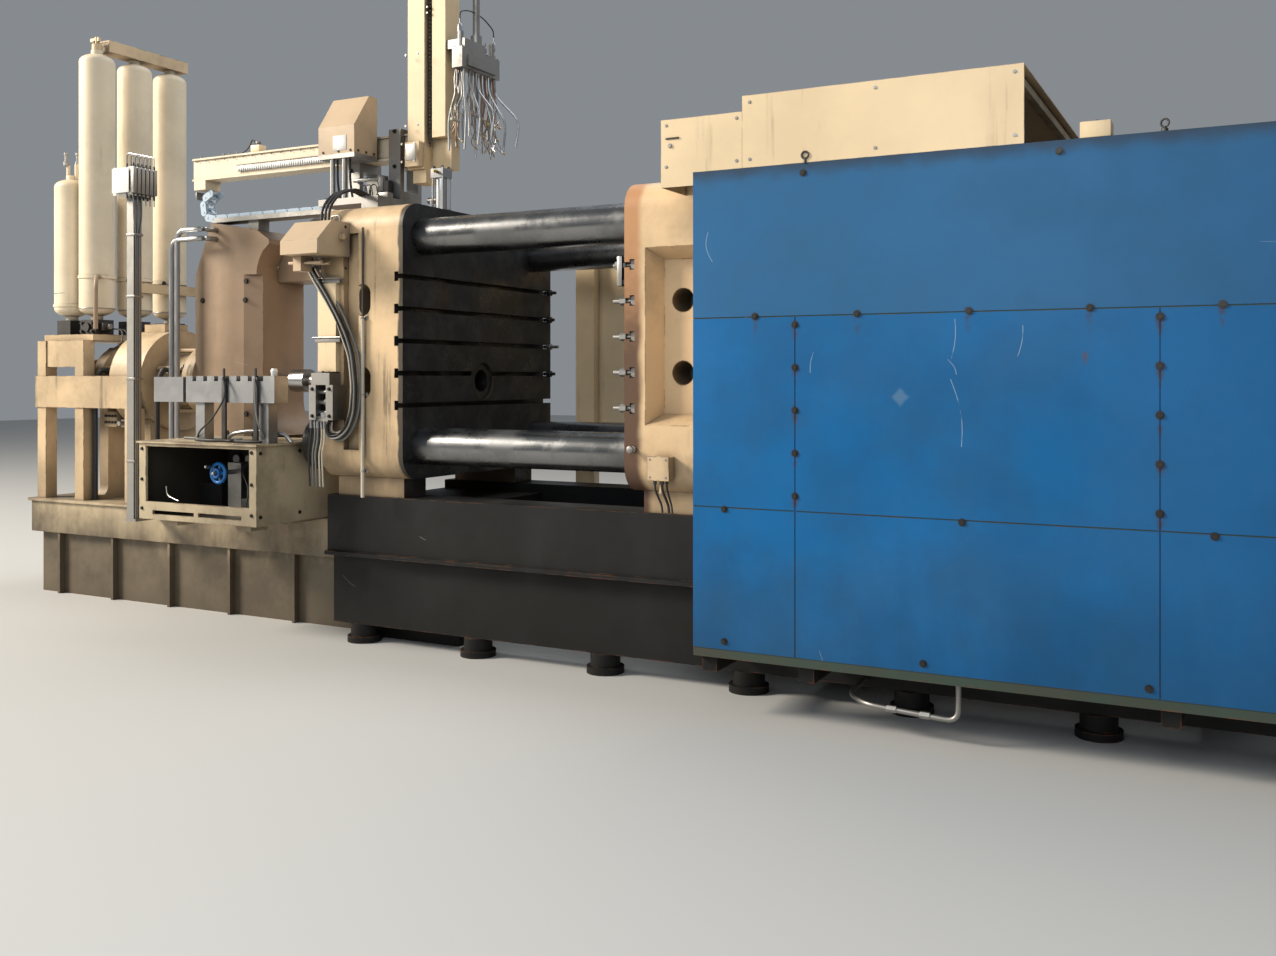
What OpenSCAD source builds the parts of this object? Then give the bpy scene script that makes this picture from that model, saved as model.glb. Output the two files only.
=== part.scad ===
// Horizontal cold-chamber die casting machine, in millimetres.
// Origin: on the floor, on the machine's centre line, below the fixed platen's die face.
// +X runs to the clamp end, +Y away from the operator, +Z up.

/* [Bed] */
// Height of the bed's top face, which the platens stand on
bed_top = 958; // [800:10:1200]
// Width of each of the two bed rails
bed_rail_w = 260; // [180:10:320]
// Distance of the rails' outer faces from the centre line
bed_half_w = 760; // [700:10:840]
// Height of the rails' upper box beam
bed_beam_h = 364; // [250:2:450]
// How far the rails' lower web is set back
bed_inset = 60; // [20:5:90]
// How far the flange below the box beam stands out
bed_flange = 30; // [10:5:60]
// Height of the levelling feet under the rails
bed_foot_h = 120; // [60:5:200]
// Radius of each levelling foot
bed_foot_r = 110; // [80:5:130]
// How far the bed runs on past the link housing
bed_tail = 240; // [100:10:600]
// Length of each crossbeam between the rails, along the machine
crossbeam_l = 320; // [200:10:500]
// Height of the shot end's own bed
shot_bed_top = 751; // [600:5:850]
// Height of the cream sill along the shot bed's top
shot_sill_h = 267; // [150:5:350]
// Half the width of the shot bed
shot_bed_half_w = 450; // [400:10:600]
// How far the shot bed's lower part is set back
shot_bed_inset = 60; // [30:5:100]
// Distance between the ribs on the shot bed's sides
shot_rib_pitch = 620; // [400:10:900]
// How far the shot bed runs on behind the C-frame's column
shot_bed_tail = 1620; // [1500:10:2000]

/* [Platens] */
// Side of the square platens
platen_side = 1730; // [1600:10:1900]
// Radius of the platens' corners
platen_corner_r = 150; // [60:10:200]
// Thickness of the fixed platen
fixed_platen_t = 660; // [600:10:800]
// Thickness of the moving platen
moving_platen_t = 560; // [500:10:700]
// Thickness of the link housing's plate
link_housing_t = 560; // [400:10:700]
// Opening between the die faces, with the clamp fully open
daylight = 1551; // [1400:10:1700]
// Distance from the moving platen's back to the link housing, fully open
link_gap = 2190; // [2000:10:2600]
// Stroke of the moving platen
clamp_stroke = 850; // [600:10:900]
// Height of the platens' feet
platen_foot_h = 122; // [80:2:160]
// Running gap between the moving platen's shoes and the bed
shoe_gap = 0.5; // [0.3:0.1:1]
// Thickness of the fixed platen's front rim
rim_t = 350; // [250:10:400]
// Width of the vertical groove in the fixed platen's sides
groove_w = 120; // [80:5:140]
// Depth of that groove
groove_depth = 45; // [20:5:60]
// Width of the cored oval holes in the fixed platen's sides
oval_w = 130; // [100:5:150]
// Height of those oval holes
oval_h = 200; // [160:5:240]
// Depth of the oval and round cored holes
core_depth = 240; // [180:10:270]
// Height of the oval holes' centres above and below the centre line
oval_offset = 260; // [240:5:300]
// Depth of the pocket in the moving platen's sides
pocket_depth = 120; // [60:5:150]
// Width of the pocket at its mouth, along the machine
pocket_w = 350; // [300:5:380]
// Half the height of the pocket at its mouth
pocket_half_h = 490; // [430:5:520]
// How much each wall of the pocket slopes in towards its floor
pocket_slope = 60; // [20:5:80]
// Radius of the round cored holes in the pocket's floor
core_r = 67; // [50:1:80]
// Distance of those holes above and below the centre line
core_offset = 202; // [150:2:260]

/* [T-slots] */
// Distance between T-slots
slot_pitch = 200; // [180:5:240]
// Number of T-slots across each die face
slot_count = 5; // [3:2:5]
// Height of a T-slot's neck
slot_neck_h = 30; // [20:1:40]
// Depth of a T-slot's neck
slot_neck_depth = 33; // [25:1:45]
// Height of a T-slot's head
slot_head_h = 59; // [50:1:70]
// Depth of a T-slot's head
slot_head_depth = 31; // [25:1:40]

/* [Tie bars] */
// Diameter of the tie bars
tie_bar_d = 232; // [200:2:260]
// Distance between the tie bars' centres, across and up
tie_bar_spacing = 1320; // [1260:10:1400]
// Clearance around a tie bar in its bores
tie_bar_gap = 0.5; // [0.3:0.1:1]
// Diameter of the tie bar nuts
nut_d = 350; // [300:5:380]
// Length of the tie bar nuts
nut_l = 190; // [120:5:260]
// How far a tie bar stands out of its nut
tie_bar_tail = 45; // [20:5:80]

/* [Clamp cylinder] */
// Diameter of the ram behind the moving platen
ram_d = 300; // [240:5:340]
// Outer diameter of the clamp cylinder
clamp_cyl_d = 620; // [560:10:700]
// Length of the clamp cylinder behind the link housing
clamp_cyl_l = 850; // [700:10:1100]
// Length of ram that stays in the cylinder with the clamp closed
ram_hold = 120; // [80:10:200]

/* [Shot end] */
// Depth of the shot axis below the centre line
shot_axis_drop = 250; // [200:10:300]
// Outer diameter of the shot sleeve
sleeve_d = 250; // [200:5:280]
// Inner diameter of the shot sleeve
sleeve_bore_d = 150; // [100:5:160]
// How far the sleeve stands out behind the fixed platen
sleeve_out = 520; // [400:10:600]
// Diameter of the plunger rod
rod_d = 90; // [60:5:95]
// Distance from the fixed platen's back to the C-frame's column
c_window = 1190; // [1100:10:1300]
// Width of the C-frame's column along the machine
c_column_w = 629; // [500:10:700]
// Thickness of the C-frame across the machine
c_frame_t = 486; // [400:5:520]
// Height of the C-frame's highest edge
c_frame_top = 2885; // [2830:5:2950]
// How far the C-frame's top falls towards the platen
c_top_fall = 80; // [40:5:100]
// Height of the C-frame's arms above the bed's top
c_arm_top = 1771; // [1700:1:1790]
// Depth of each arm
c_arm_h = 296; // [200:2:340]
// Thickness of the arms across the machine
c_arm_t = 270; // [200:5:300]
// Radius of the fillets between column and arms
c_fillet_r = 250; // [150:10:280]
// Width of the bevel along the column's inner edge
c_bevel_w = 130; // [60:5:160]
// Width of the chamfer on the column's rear corner
c_chamfer_w = 165; // [100:5:220]
// Height of the chamfer on the column's rear corner
c_chamfer_h = 395; // [250:5:450]
// Outer diameter of the shot cylinder
shot_cyl_d = 430; // [380:5:480]
// Length of the shot cylinder
shot_cyl_l = 1120; // [900:10:1200]
// Diameter of the shot cylinder's end flanges
shot_flange_d = 560; // [500:5:600]
// Diameter of the round housing in the middle of the shot cylinder
shot_body_d = 790; // [700:5:820]
// Length of the round housing
shot_body_l = 354; // [250:2:400]

/* [Accumulators] */
// Diameter of the accumulators
accu_d = 270; // [240:5:300]
// Length of the three tall accumulators
accu_tall_l = 2176; // [2000:10:2300]
// Length of the short accumulator
accu_short_l = 1188; // [1000:10:1400]
// Height of the accumulators' bottoms
accu_bottom = 2183; // [2100:10:2250]
// Distance between the tall accumulators
accu_pitch = 361; // [310:1:420]
// Height of the manifold blocks under the accumulators
manifold_h = 120; // [80:5:135]
// How far the accumulators stand behind the C-frame's column
accu_back = 1161; // [1100:10:1250]
// How far the short accumulator stands behind the tall ones
accu_short_back = 300; // [305:5:400]
// How far the first accumulator stands towards the operator
accu_front = 200; // [150:10:260]

/* [Spray robot] */
// Stroke of the spray beam over the die space
spray_stroke = 900; // [600:10:1000]
// Length of the spray beam
beam_l = 2077; // [1900:10:2300]
// Height of the spray beam's section
beam_h = 170; // [120:5:200]
// Width of the spray beam's section
beam_w = 150; // [100:5:180]
// Height of the spray beam's underside
beam_z = 3215; // [3150:5:3300]
// Distance of the beam's centre from the machine's centre line
beam_front = 150; // [100:10:250]
// Distance of the mast's face from the die face
mast_back = 457; // [400:5:520]
// Height of the mast's foot
mast_z = 3130; // [3100:5:3160]
// Height of the mast's top
mast_top = 4900; // [4500:10:5200]
// Distance of the spray head behind the die face
head_back = 87; // [60:1:120]
// Width of the mast's column along the machine
mast_w = 140; // [110:5:160]
// Depth of the mast across the machine
mast_depth = 180; // [140:5:220]
// Width of the slot beside the mast's column
mast_slot_w = 50; // [30:5:70]
// Width of the rail strip beyond that slot
mast_rail_w = 110; // [80:5:130]
// Height of the spray head's manifold above the floor
spray_head_z = 3786; // [3700:2:3850]
// Depth of the manifold across the machine
spray_head_l = 440; // [360:10:500]
// Height of the manifold
spray_head_h = 137; // [100:1:160]
// Width of the manifold along the machine
spray_head_w = 82; // [60:1:100]
// Number of spray tubes in each of the two rows
spray_tube_count = 6; // [3:1:7]
// Radius of each spray tube
spray_tube_r = 7; // [5:0.5:9]
// How far the spray tubes reach down from the manifold
spray_tube_drop = 560; // [400:10:640]
// Distance between the cable chain's pivots
chain_pitch = 60; // [56:1:70]
// Height of the cable chain's links
chain_t = 56; // [44:1:60]
// Width of the cable chain
chain_w = 110; // [80:2:120]
// Thickness of the chain's side plates
chain_plate_t = 9; // [5:0.5:12]
// How far a link's straight middle is set in from its round ends
chain_waist = 1; // [0.5:0.5:3]
// Gap between the plates of neighbouring links
chain_play = 3; // [1:0.5:5]
// Running gap around the spray beam in its guide
beam_gap = 0.5; // [0.3:0.1:1]

/* [Operator side] */
// Width of the cable duct on the fixed platen's side
duct_w = 150; // [100:5:160]
// Depth of the cable duct
duct_depth = 40; // [30:2:60]
// Height of the cable duct
duct_h = 600; // [400:10:640]
// Wall thickness of the cable duct
duct_wall = 6; // [5:1:8]
// Width of the stiles beside the cabinet's opening
cabinet_stile = 62; // [40:2:80]
// Height of the rail below the cabinet's opening
cabinet_sill = 118; // [90:2:140]
// Thickness of the cabinet's overhanging top plate
cabinet_lid_t = 14; // [8:1:20]
// Height of the handwheel's axis above the cabinet's floor
wheel_rise = 310; // [280:5:340]
// Distance between the notches in the aluminium rail's top
rail_notch_pitch = 100; // [60:5:150]
// Width of the valve cabinet along the machine
cabinet_w = 1068; // [900:10:1100]
// Depth of the valve cabinet
cabinet_depth = 780; // [700:10:800]
// Height of the valve cabinet
cabinet_h = 509; // [450:5:600]
// Height of the valve cabinet's underside
cabinet_z = 770; // [755:5:800]
// Distance of the cabinet's right side from the die face
cabinet_back = 934; // [900:2:1000]
// Distance of the cabinet's open front from the centre line
cabinet_front = 1150; // [1100:5:1200]
// Thickness of the cabinet's sheet walls
cabinet_wall = 20; // [10:1:30]
// Diameter of the blue handwheel
wheel_d = 150; // [120:2:170]

/* [Guards] */
// Distance of the blue panels' outer faces from the centre line
guard_half_w = 1200; // [1150:10:1300]
// Thickness of the guard panels
panel_t = 4; // [3:0.5:6]
// Gap between guard panels
panel_seam = 6; // [3:1:10]
// Start of the guard, measured from the fixed die face
guard_start = 2127; // [2080:1:2200]
// Height of the guard's lower edge
guard_low = 351; // [330:1:400]
// Height of the guard's upper edge
guard_high = 2761; // [2700:1:2820]
// Height of the upper seam
seam_high = 2020; // [1950:5:2100]
// Height of the lower seam
seam_low = 1068; // [1000:5:1150]
// Section of the guard's posts
post_w = 80; // [60:5:90]
// Depth of the guard's rails
rail_depth = 46; // [30:2:60]
// Height of the guard's rails
rail_h = 66; // [50:2:80]
// Clearance between the small top cover and the moving platen
cover_gap = 35; // [20:1:60]
// Wall thickness of the cream top covers
cover_t = 6; // [4:1:10]
// Length of the large top cover
big_cover_l = 1354; // [1200:10:1500]
// Height of the large top cover's roof
big_cover_top = 3120; // [3080:5:3200]
// Length of the small top cover
small_cover_l = 451; // [400:5:500]
// Height of the small top cover's roof
small_cover_top = 3043; // [3000:5:3075]

/* [Hidden] */
$fn = 64;
eps = 0.01;
seat = 0.3;
platen_half = platen_side / 2;
platen_low = bed_top + platen_foot_h;
centre_z = platen_low + platen_half;
shot_z = centre_z - shot_axis_drop;
tie_off = tie_bar_spacing / 2;
tie_bar_r = tie_bar_d / 2;
fixed_back_x = -fixed_platen_t;
moving_x = daylight;
moving_back_x = moving_x + moving_platen_t;
link_x = moving_back_x + link_gap;
link_back_x = link_x + link_housing_t;
bed_x0 = fixed_back_x - 40;
bed_x1 = link_back_x + bed_tail;
column_x1 = fixed_back_x - c_window;
column_x0 = column_x1 - c_column_w;
shot_cyl_x0 = column_x0 - shot_cyl_l;
shot_body_x0 = shot_cyl_x0 + 345;
shot_body_x1 = shot_body_x0 + shot_body_l;
c_arm_low = shot_bed_top + 250;
shot_bed_x0 = column_x0 - shot_bed_tail;
slots = [for (i = [0:slot_count - 1]) (i - (slot_count - 1) / 2) * slot_pitch];
tie_places = [for (y = [-tie_off, tie_off], z = [-tie_off, tie_off]) [y, centre_z + z]];
bed_foot_xs = [for (i = [0:6]) bed_x0 + 200 + i * (bed_x1 - bed_x0 - 400) / 6];
accu_x = column_x0 - accu_back;
accu_ys = [for (i = [0:2]) -accu_front + i * accu_pitch];
accu_r = accu_d / 2;
lube_z = 3040;
accu_band_z = 330;
shot_flange_l = 110;
chain_end_x = -1240;
guide_z = c_frame_top + seat;
guide_x1 = -500;
tray_t = 6;
beam_foot_h = 70;
motor_x0 = -1017;
motor_w = 315;
motor_y0 = -500;
motor_z = 3234;
valve_z0 = 1451;
lower_motor_x0 = -723;
lower_motor_z = 2481;
duct_x = fixed_back_x + 10;
duct_z = valve_z0 + 304;
hose_r = 22;
hose_y = -platen_half - duct_depth - hose_r - 4;
hose_route = [[-690, hose_y, lower_motor_z - seat], [-690, hose_y, 2410], [-565, hose_y, 2238],
              [-466, hose_y, 2101], [-401, hose_y, 1974], [-352, hose_y, 1860],
              [-328, hose_y, 1665], [-345, hose_y, 1500], [-385, hose_y, 1400],
              [-450, hose_y, 1340], [-525, hose_y, 1340], [-558, hose_y, 1380],
              [-558, hose_y, valve_z0 - 10 - seat]];
beam_y = -beam_front;
mast_x = -mast_back;
beam_x1 = mast_x;
beam_x0 = beam_x1 - beam_l;
chain_low = guide_z + tray_t + seat + chain_t / 2;
chain_top = beam_z - beam_foot_h - seat - chain_t / 2;
chain_x0 = beam_x0 + 185;
chain_x1 = chain_x0 - 20;
platen_top = centre_z + platen_half;
mast_y0 = beam_y - mast_depth / 2;
mast_y1 = beam_y + mast_depth / 2;
mast_x1 = mast_x + mast_w + mast_slot_w + mast_rail_w;
head_x = -head_back;
cabinet_x1 = -cabinet_back;
cabinet_x0 = cabinet_x1 - cabinet_w;
cabinet_y0 = -cabinet_front;
cabinet_y1 = cabinet_y0 + cabinet_depth;
cabinet_z1 = cabinet_z + cabinet_h;
wheel_x = (cabinet_x0 + cabinet_x1) / 2;
wheel_setback = 190;
wheel_y = cabinet_y0 + wheel_setback;
wheel_z = cabinet_z + wheel_rise;
spindle_r = 15;
rail_z0 = 1554;
guard_x1 = bed_x1 - 50;
seam_xs = [guard_start, guard_start + 547, guard_start + 2179, guard_x1];
guard_xs = [seam_xs[0] + 30, seam_xs[1], seam_xs[2], seam_xs[3] - 30 - post_w];
guard_foot_z = guard_low - 20;
outrigger_z = guard_low - 130;
cover_seam_x = guard_start + 269;

// Height of the C-frame's sloping top at x
function c_top_at(x) =
  c_frame_top - c_top_fall * (x - column_x0 - c_chamfer_w) / (c_column_w - c_chamfer_w);

// A vector of length one along v
function unit(v) = v / norm(v);

// Points of a smooth bend of size r at the corner b between a and c
function corner(a, b, c, r, n) =
  let (p = b + r * unit(a - b), q = b + r * unit(c - b))
  [for (i = [0:n]) let (t = i / n)
    (1 - t) * (1 - t) * p + 2 * t * (1 - t) * b + t * t * q];

// A path through the points with each inner corner bent by r
function bent(points, r, n = 5) =
  let (last = len(points) - 1)
  concat([points[0]],
         [for (i = [1:1:last - 1]) each corner(points[i - 1], points[i], points[i + 1], r, n)],
         [points[last]]);

// A tube of radius r swept along a path; ref is a direction the path never takes
module tube(path, r, sides = 12, ref = [0, 1, 0]) {
  last = len(path) - 1;
  rings = [for (i = [0:last])
    let (d = unit(path[min(i + 1, last)] - path[max(i - 1, 0)]),
         u = unit(cross(d, ref)), v = cross(u, d))
    for (k = [0:sides - 1]) path[i] + r * (cos(k * 360 / sides) * u + sin(k * 360 / sides) * v)];
  sides_faces = [for (i = [0:last - 1], k = [0:sides - 1])
    [i * sides + k, i * sides + (k + 1) % sides,
     (i + 1) * sides + (k + 1) % sides, (i + 1) * sides + k]];
  polyhedron(rings, concat([[for (k = [sides - 1:-1:0]) k]], sides_faces,
                           [[for (k = [0:sides - 1]) last * sides + k]]));
}

// A box between two opposite corners
module block(low, high) {
  translate(low) cube(high - low);
}

// A rectangle centred on the origin, with true round corners
module rounded_rect(w, h, r) {
  square([w - 2 * r, h], center = true);
  square([w, h - 2 * r], center = true);
  for (x = [-1, 1], y = [-1, 1]) {
    translate([x * (w / 2 - r), y * (h / 2 - r)]) circle(r);
  }
}

// A slot-shaped outline, round at its top and bottom
module upright_oval(w, h) {
  square([w, h - w], center = true);
  for (s = [-1, 1]) translate([0, s * (h - w) / 2]) circle(w / 2);
}

// A round bar along the machine from x0 to x1
module x_bar(x0, x1, y, z, r) {
  translate([x0, y, z]) rotate([0, 90, 0]) cylinder(r = r, h = x1 - x0);
}

// A round bar across the machine from y0 to y1
module y_bar(x, y0, y1, z, r) {
  translate([x, y0, z]) rotate([-90, 0, 0]) cylinder(r = r, h = y1 - y0);
}

// A square platen with round corners from x0 to x1
module platen_body(x0, x1) {
  translate([x0, 0, centre_z]) rotate([90, 0, 90])
    linear_extrude(x1 - x0) rounded_rect(platen_side, platen_side, platen_corner_r);
}

// The two feet under a platen, the same width as the bed's rails
module platen_feet(x0, x1, gap) {
  for (s = [-1, 1]) {
    y = s * (bed_half_w - bed_rail_w / 2);
    block([x0, y - bed_rail_w / 2 + 20, bed_top + gap],
          [x1, y + bed_rail_w / 2 - 20, platen_low + platen_corner_r / 2]);
  }
}

// Cutters for the T-slots of a die face at x, with the metal on the side dir
module t_slots(x, dir) {
  for (z = slots) {
    translate([x, 0, centre_z + z]) rotate([90, 0, 0])
      linear_extrude(platen_side + 2, center = true) {
        translate([min(0, dir * slot_neck_depth) - (dir > 0 ? 1 : 0), -slot_neck_h / 2])
          square([slot_neck_depth + 1, slot_neck_h]);
        translate([dir > 0 ? slot_neck_depth - eps : -slot_neck_depth - slot_head_depth,
                   -slot_head_h / 2])
          square([slot_head_depth + eps, slot_head_h]);
      }
  }
}

// Cutters for the four tie bars through a platen from x0 to x1
module tie_bar_bores(x0, x1) {
  for (p = tie_places) x_bar(x0 - 1, x1 + 1, p[0], p[1], tie_bar_r + tie_bar_gap);
}

// One bed rail on its levelling feet, on the side s of the centre line: a box beam
// with a flange along its lower edge, on a narrower web
module bed_rail(s) {
  y0 = s > 0 ? bed_half_w - bed_rail_w : -bed_half_w;
  web_z = bed_top - bed_beam_h;
  web_y0 = s > 0 ? y0 : y0 + bed_inset;
  block([bed_x0, y0, web_z], [bed_x1, y0 + bed_rail_w, bed_top]);
  block([bed_x0, web_y0, bed_foot_h], [bed_x1, web_y0 + bed_rail_w - bed_inset, web_z + eps]);
  block([bed_x0, s > 0 ? y0 : y0 - bed_flange, web_z - 24],
        [bed_x1, y0 + bed_rail_w + (s > 0 ? bed_flange : 0), web_z + eps]);
  for (x = bed_foot_xs) {
    translate([x, y0 + bed_rail_w / 2, 0]) cylinder(r = bed_foot_r * 0.8, h = bed_foot_h + eps);
    translate([x, y0 + bed_rail_w / 2, 0]) cylinder(r = bed_foot_r, h = bed_foot_h / 3);
  }
}

module bed_rail_front() {
  color("dimgray") bed_rail(-1);
}

module bed_rail_rear() {
  color("dimgray") bed_rail(1);
}

// The sole block below the fixed platen, and two beams towards the clamp end
module bed_crossbeams() {
  inner = bed_half_w - bed_rail_w;
  color("dimgray") {
    block([bed_x0, -inner, 0], [crossbeam_l / 2, inner, bed_top - 60]);
    for (x = [moving_back_x + 400, link_x + 100]) {
      block([x, -inner, bed_foot_h + 60], [x + crossbeam_l, inner, bed_top - 60]);
    }
  }
}

module shot_bed() {
  sill_z = shot_bed_top - shot_sill_h;
  base_y = shot_bed_half_w - shot_bed_inset;
  color("wheat") {
    block([shot_bed_x0, -shot_bed_half_w, sill_z], [bed_x0, shot_bed_half_w, shot_bed_top]);
    block([shot_bed_x0 - 20, -shot_bed_half_w - 20, shot_bed_top - 22],
          [column_x0, shot_bed_half_w + 20, shot_bed_top]);
    block([shot_bed_x0 + shot_bed_inset, -base_y, 0], [bed_x0, base_y, sill_z + eps]);
    for (x = [shot_bed_x0 + 300:shot_rib_pitch:bed_x0 - 200], s = [-1, 1]) {
      block([x, s > 0 ? base_y - eps : -shot_bed_half_w + 12, 0],
            [x + 25, s > 0 ? shot_bed_half_w - 12 : -base_y + eps, sill_z + eps]);
    }
  }
}

module fixed_platen() {
  sleeve_r = sleeve_d / 2 + seat;
  groove_x = -rim_t - groove_w;
  color("wheat") difference() {
    union() {
      platen_body(fixed_back_x, 0);
      platen_feet(fixed_back_x + 40, -88, 0);
    }
    t_slots(0, -1);
    tie_bar_bores(fixed_back_x, 0);
    x_bar(fixed_back_x - 1, 1, 0, shot_z, sleeve_r);
    for (s = [-1, 1]) {
      translate([groove_x + groove_w / 2, s * platen_half, centre_z])
        cube([groove_w, 2 * groove_depth, platen_side - 2.4 * platen_corner_r], center = true);
      for (z = [-oval_offset, oval_offset]) {
        translate([-rim_t + oval_w / 4, s * (platen_half + 1), centre_z + z])
          rotate([s * 90, 0, 0]) linear_extrude(core_depth) upright_oval(oval_w, oval_h);
      }
    }
  }
}

// The pocket in one side of the moving platen: its walls slope in to a flat floor
module side_pocket() {
  mid_x = moving_x + 130 + pocket_w / 2;
  floor_w = pocket_w - 2 * pocket_slope;
  floor_h = 2 * (pocket_half_h - pocket_slope);
  translate([mid_x, -platen_half, centre_z]) intersection() {
    linear_extrude(4 * pocket_half_h, center = true)
      polygon([[-pocket_w / 2, 0], [-pocket_w / 2, -1], [pocket_w / 2, -1], [pocket_w / 2, 0],
               [floor_w / 2, pocket_depth], [-floor_w / 2, pocket_depth]]);
    rotate([90, 0, 90]) linear_extrude(2 * pocket_w, center = true)
      polygon([[0, -pocket_half_h], [-1, -pocket_half_h], [-1, pocket_half_h],
               [0, pocket_half_h], [pocket_depth, floor_h / 2], [pocket_depth, -floor_h / 2]]);
  }
  for (z = [-core_offset, core_offset]) {
    y_bar(mid_x, -platen_half, -platen_half + pocket_depth + core_depth, centre_z + z, core_r);
  }
}

module moving_platen() {
  color("wheat") difference() {
    union() {
      platen_body(moving_x, moving_back_x);
      platen_feet(moving_x + 60, moving_back_x - 20, shoe_gap);
    }
    t_slots(moving_x, 1);
    tie_bar_bores(moving_x, moving_back_x);
    side_pocket();
    mirror([0, 1, 0]) side_pocket();
  }
}

module link_housing() {
  color("wheat") difference() {
    union() {
      platen_body(link_x, link_back_x);
      platen_feet(link_x + 40, link_back_x - 20, 0);
    }
    tie_bar_bores(link_x, link_back_x);
    x_bar(link_x - 1, link_back_x + 1, 0, centre_z, ram_d / 2 + tie_bar_gap);
  }
}

module tie_bars() {
  color("silver") for (p = tie_places) {
    x_bar(fixed_back_x - nut_l - tie_bar_tail, link_back_x + nut_l + tie_bar_tail,
          p[0], p[1], tie_bar_r);
  }
}

module tie_bar_nuts() {
  color("gray") for (p = tie_places, x = [fixed_back_x - nut_l, link_back_x]) {
    difference() {
      x_bar(x, x + nut_l, p[0], p[1], nut_d / 2);
      x_bar(x - 1, x + nut_l + 1, p[0], p[1], tie_bar_r + seat);
    }
  }
}

module clamp_cylinder() {
  color("steelblue") difference() {
    union() {
      x_bar(link_back_x, link_back_x + clamp_cyl_l, 0, centre_z, clamp_cyl_d / 2);
      x_bar(link_back_x, link_back_x + 90, 0, centre_z, clamp_cyl_d / 2 + 70);
      x_bar(link_back_x + clamp_cyl_l - 90, link_back_x + clamp_cyl_l + 60, 0, centre_z,
            clamp_cyl_d / 2 + 40);
    }
    x_bar(link_back_x - 1, link_back_x + clamp_cyl_l - 60, 0, centre_z,
          ram_d / 2 + tie_bar_gap);
  }
}

module clamp_ram() {
  ram_x1 = link_x + clamp_stroke + ram_hold;
  color("silver") {
    x_bar(moving_back_x, ram_x1, 0, centre_z, ram_d / 2);
    x_bar(moving_back_x, moving_back_x + 70, 0, centre_z, ram_d / 2 + 90);
  }
}

// One quarter of a round fillet with its square corner at the origin
module fillet(r) {
  difference() {
    square(r);
    translate([r, r]) circle(r);
  }
}

// The outline of the C-frame's column, with its shoulder and fillets at the arms
module c_outline() {
  arm_top = bed_top + c_arm_top;
  shoulder_z = c_frame_top - c_top_fall;
  polygon([[column_x0, shot_bed_top], [column_x1, shot_bed_top], [column_x1, shoulder_z],
           [column_x0 + c_chamfer_w, c_frame_top], [column_x0, c_frame_top - c_chamfer_h]]);
  polygon([[column_x1 - 1, arm_top - 1], [column_x1 - 1, shoulder_z],
           [column_x1, shoulder_z], [column_x1 + c_fillet_r / 2, arm_top],
           [column_x1 + c_fillet_r / 2, arm_top - 1]]);
  translate([column_x1 - eps, arm_top]) mirror([0, 1]) intersection() {
    fillet(c_fillet_r);
    square([c_fillet_r / 2, 2 * c_fillet_r]);
  }
  translate([column_x1 - eps, c_arm_low + c_arm_h]) fillet(c_fillet_r);
}

// The C-shaped frame that ties the shot cylinder to the fixed platen
module c_frame() {
  arm_top = bed_top + c_arm_top;
  arm_y0 = c_frame_t / 2 - c_arm_t;
  bevel_z1 = arm_top - c_fillet_r;
  color("tan") difference() {
    union() {
      rotate([90, 0, 0]) linear_extrude(c_frame_t, center = true) c_outline();
      for (z = [arm_top - c_arm_h, c_arm_low]) {
        block([column_x1 - eps, arm_y0, z], [fixed_back_x, c_frame_t / 2, z + c_arm_h]);
      }
      block([fixed_back_x - 70, -c_frame_t / 2, c_arm_low],
            [fixed_back_x, c_frame_t / 2, shot_z - sleeve_d / 2 - 80]);
    }
    x_bar(column_x0 - 1, column_x1 + 1, 0, shot_z, rod_d / 2 + seat);
    translate([0, 0, shot_bed_top - 1]) linear_extrude(bevel_z1 - shot_bed_top + 1)
      polygon([[column_x1 - c_bevel_w, -c_frame_t / 2 - 1], [column_x1 + 1, -c_frame_t / 2 - 1],
               [column_x1 + 1, -c_frame_t / 2 + c_bevel_w / 2]]);
  }
}

module shot_sleeve() {
  x0 = fixed_back_x - sleeve_out;
  slot_w = sleeve_bore_d * 0.7;
  color("dimgray") difference() {
    union() {
      x_bar(x0, -20, 0, shot_z, sleeve_d / 2);
      x_bar(fixed_back_x - 60, fixed_back_x, 0, shot_z, sleeve_d / 2 + 45);
    }
    x_bar(x0 - 1, 1, 0, shot_z, sleeve_bore_d / 2);
    block([x0 + 90, -slot_w / 2, shot_z], [x0 + 90 + 1.6 * slot_w, slot_w / 2, shot_z + sleeve_d]);
  }
}

module plunger_rod() {
  tip_x = fixed_back_x - sleeve_out + 60;
  color("silver") {
    x_bar(column_x0 + 1, tip_x, 0, shot_z, rod_d / 2);
    x_bar(tip_x - eps, tip_x + 130, 0, shot_z, sleeve_bore_d / 2 - seat);
    x_bar(column_x1 + 150, column_x1 + 290, 0, shot_z, rod_d / 2 + 40);
  }
}

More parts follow.
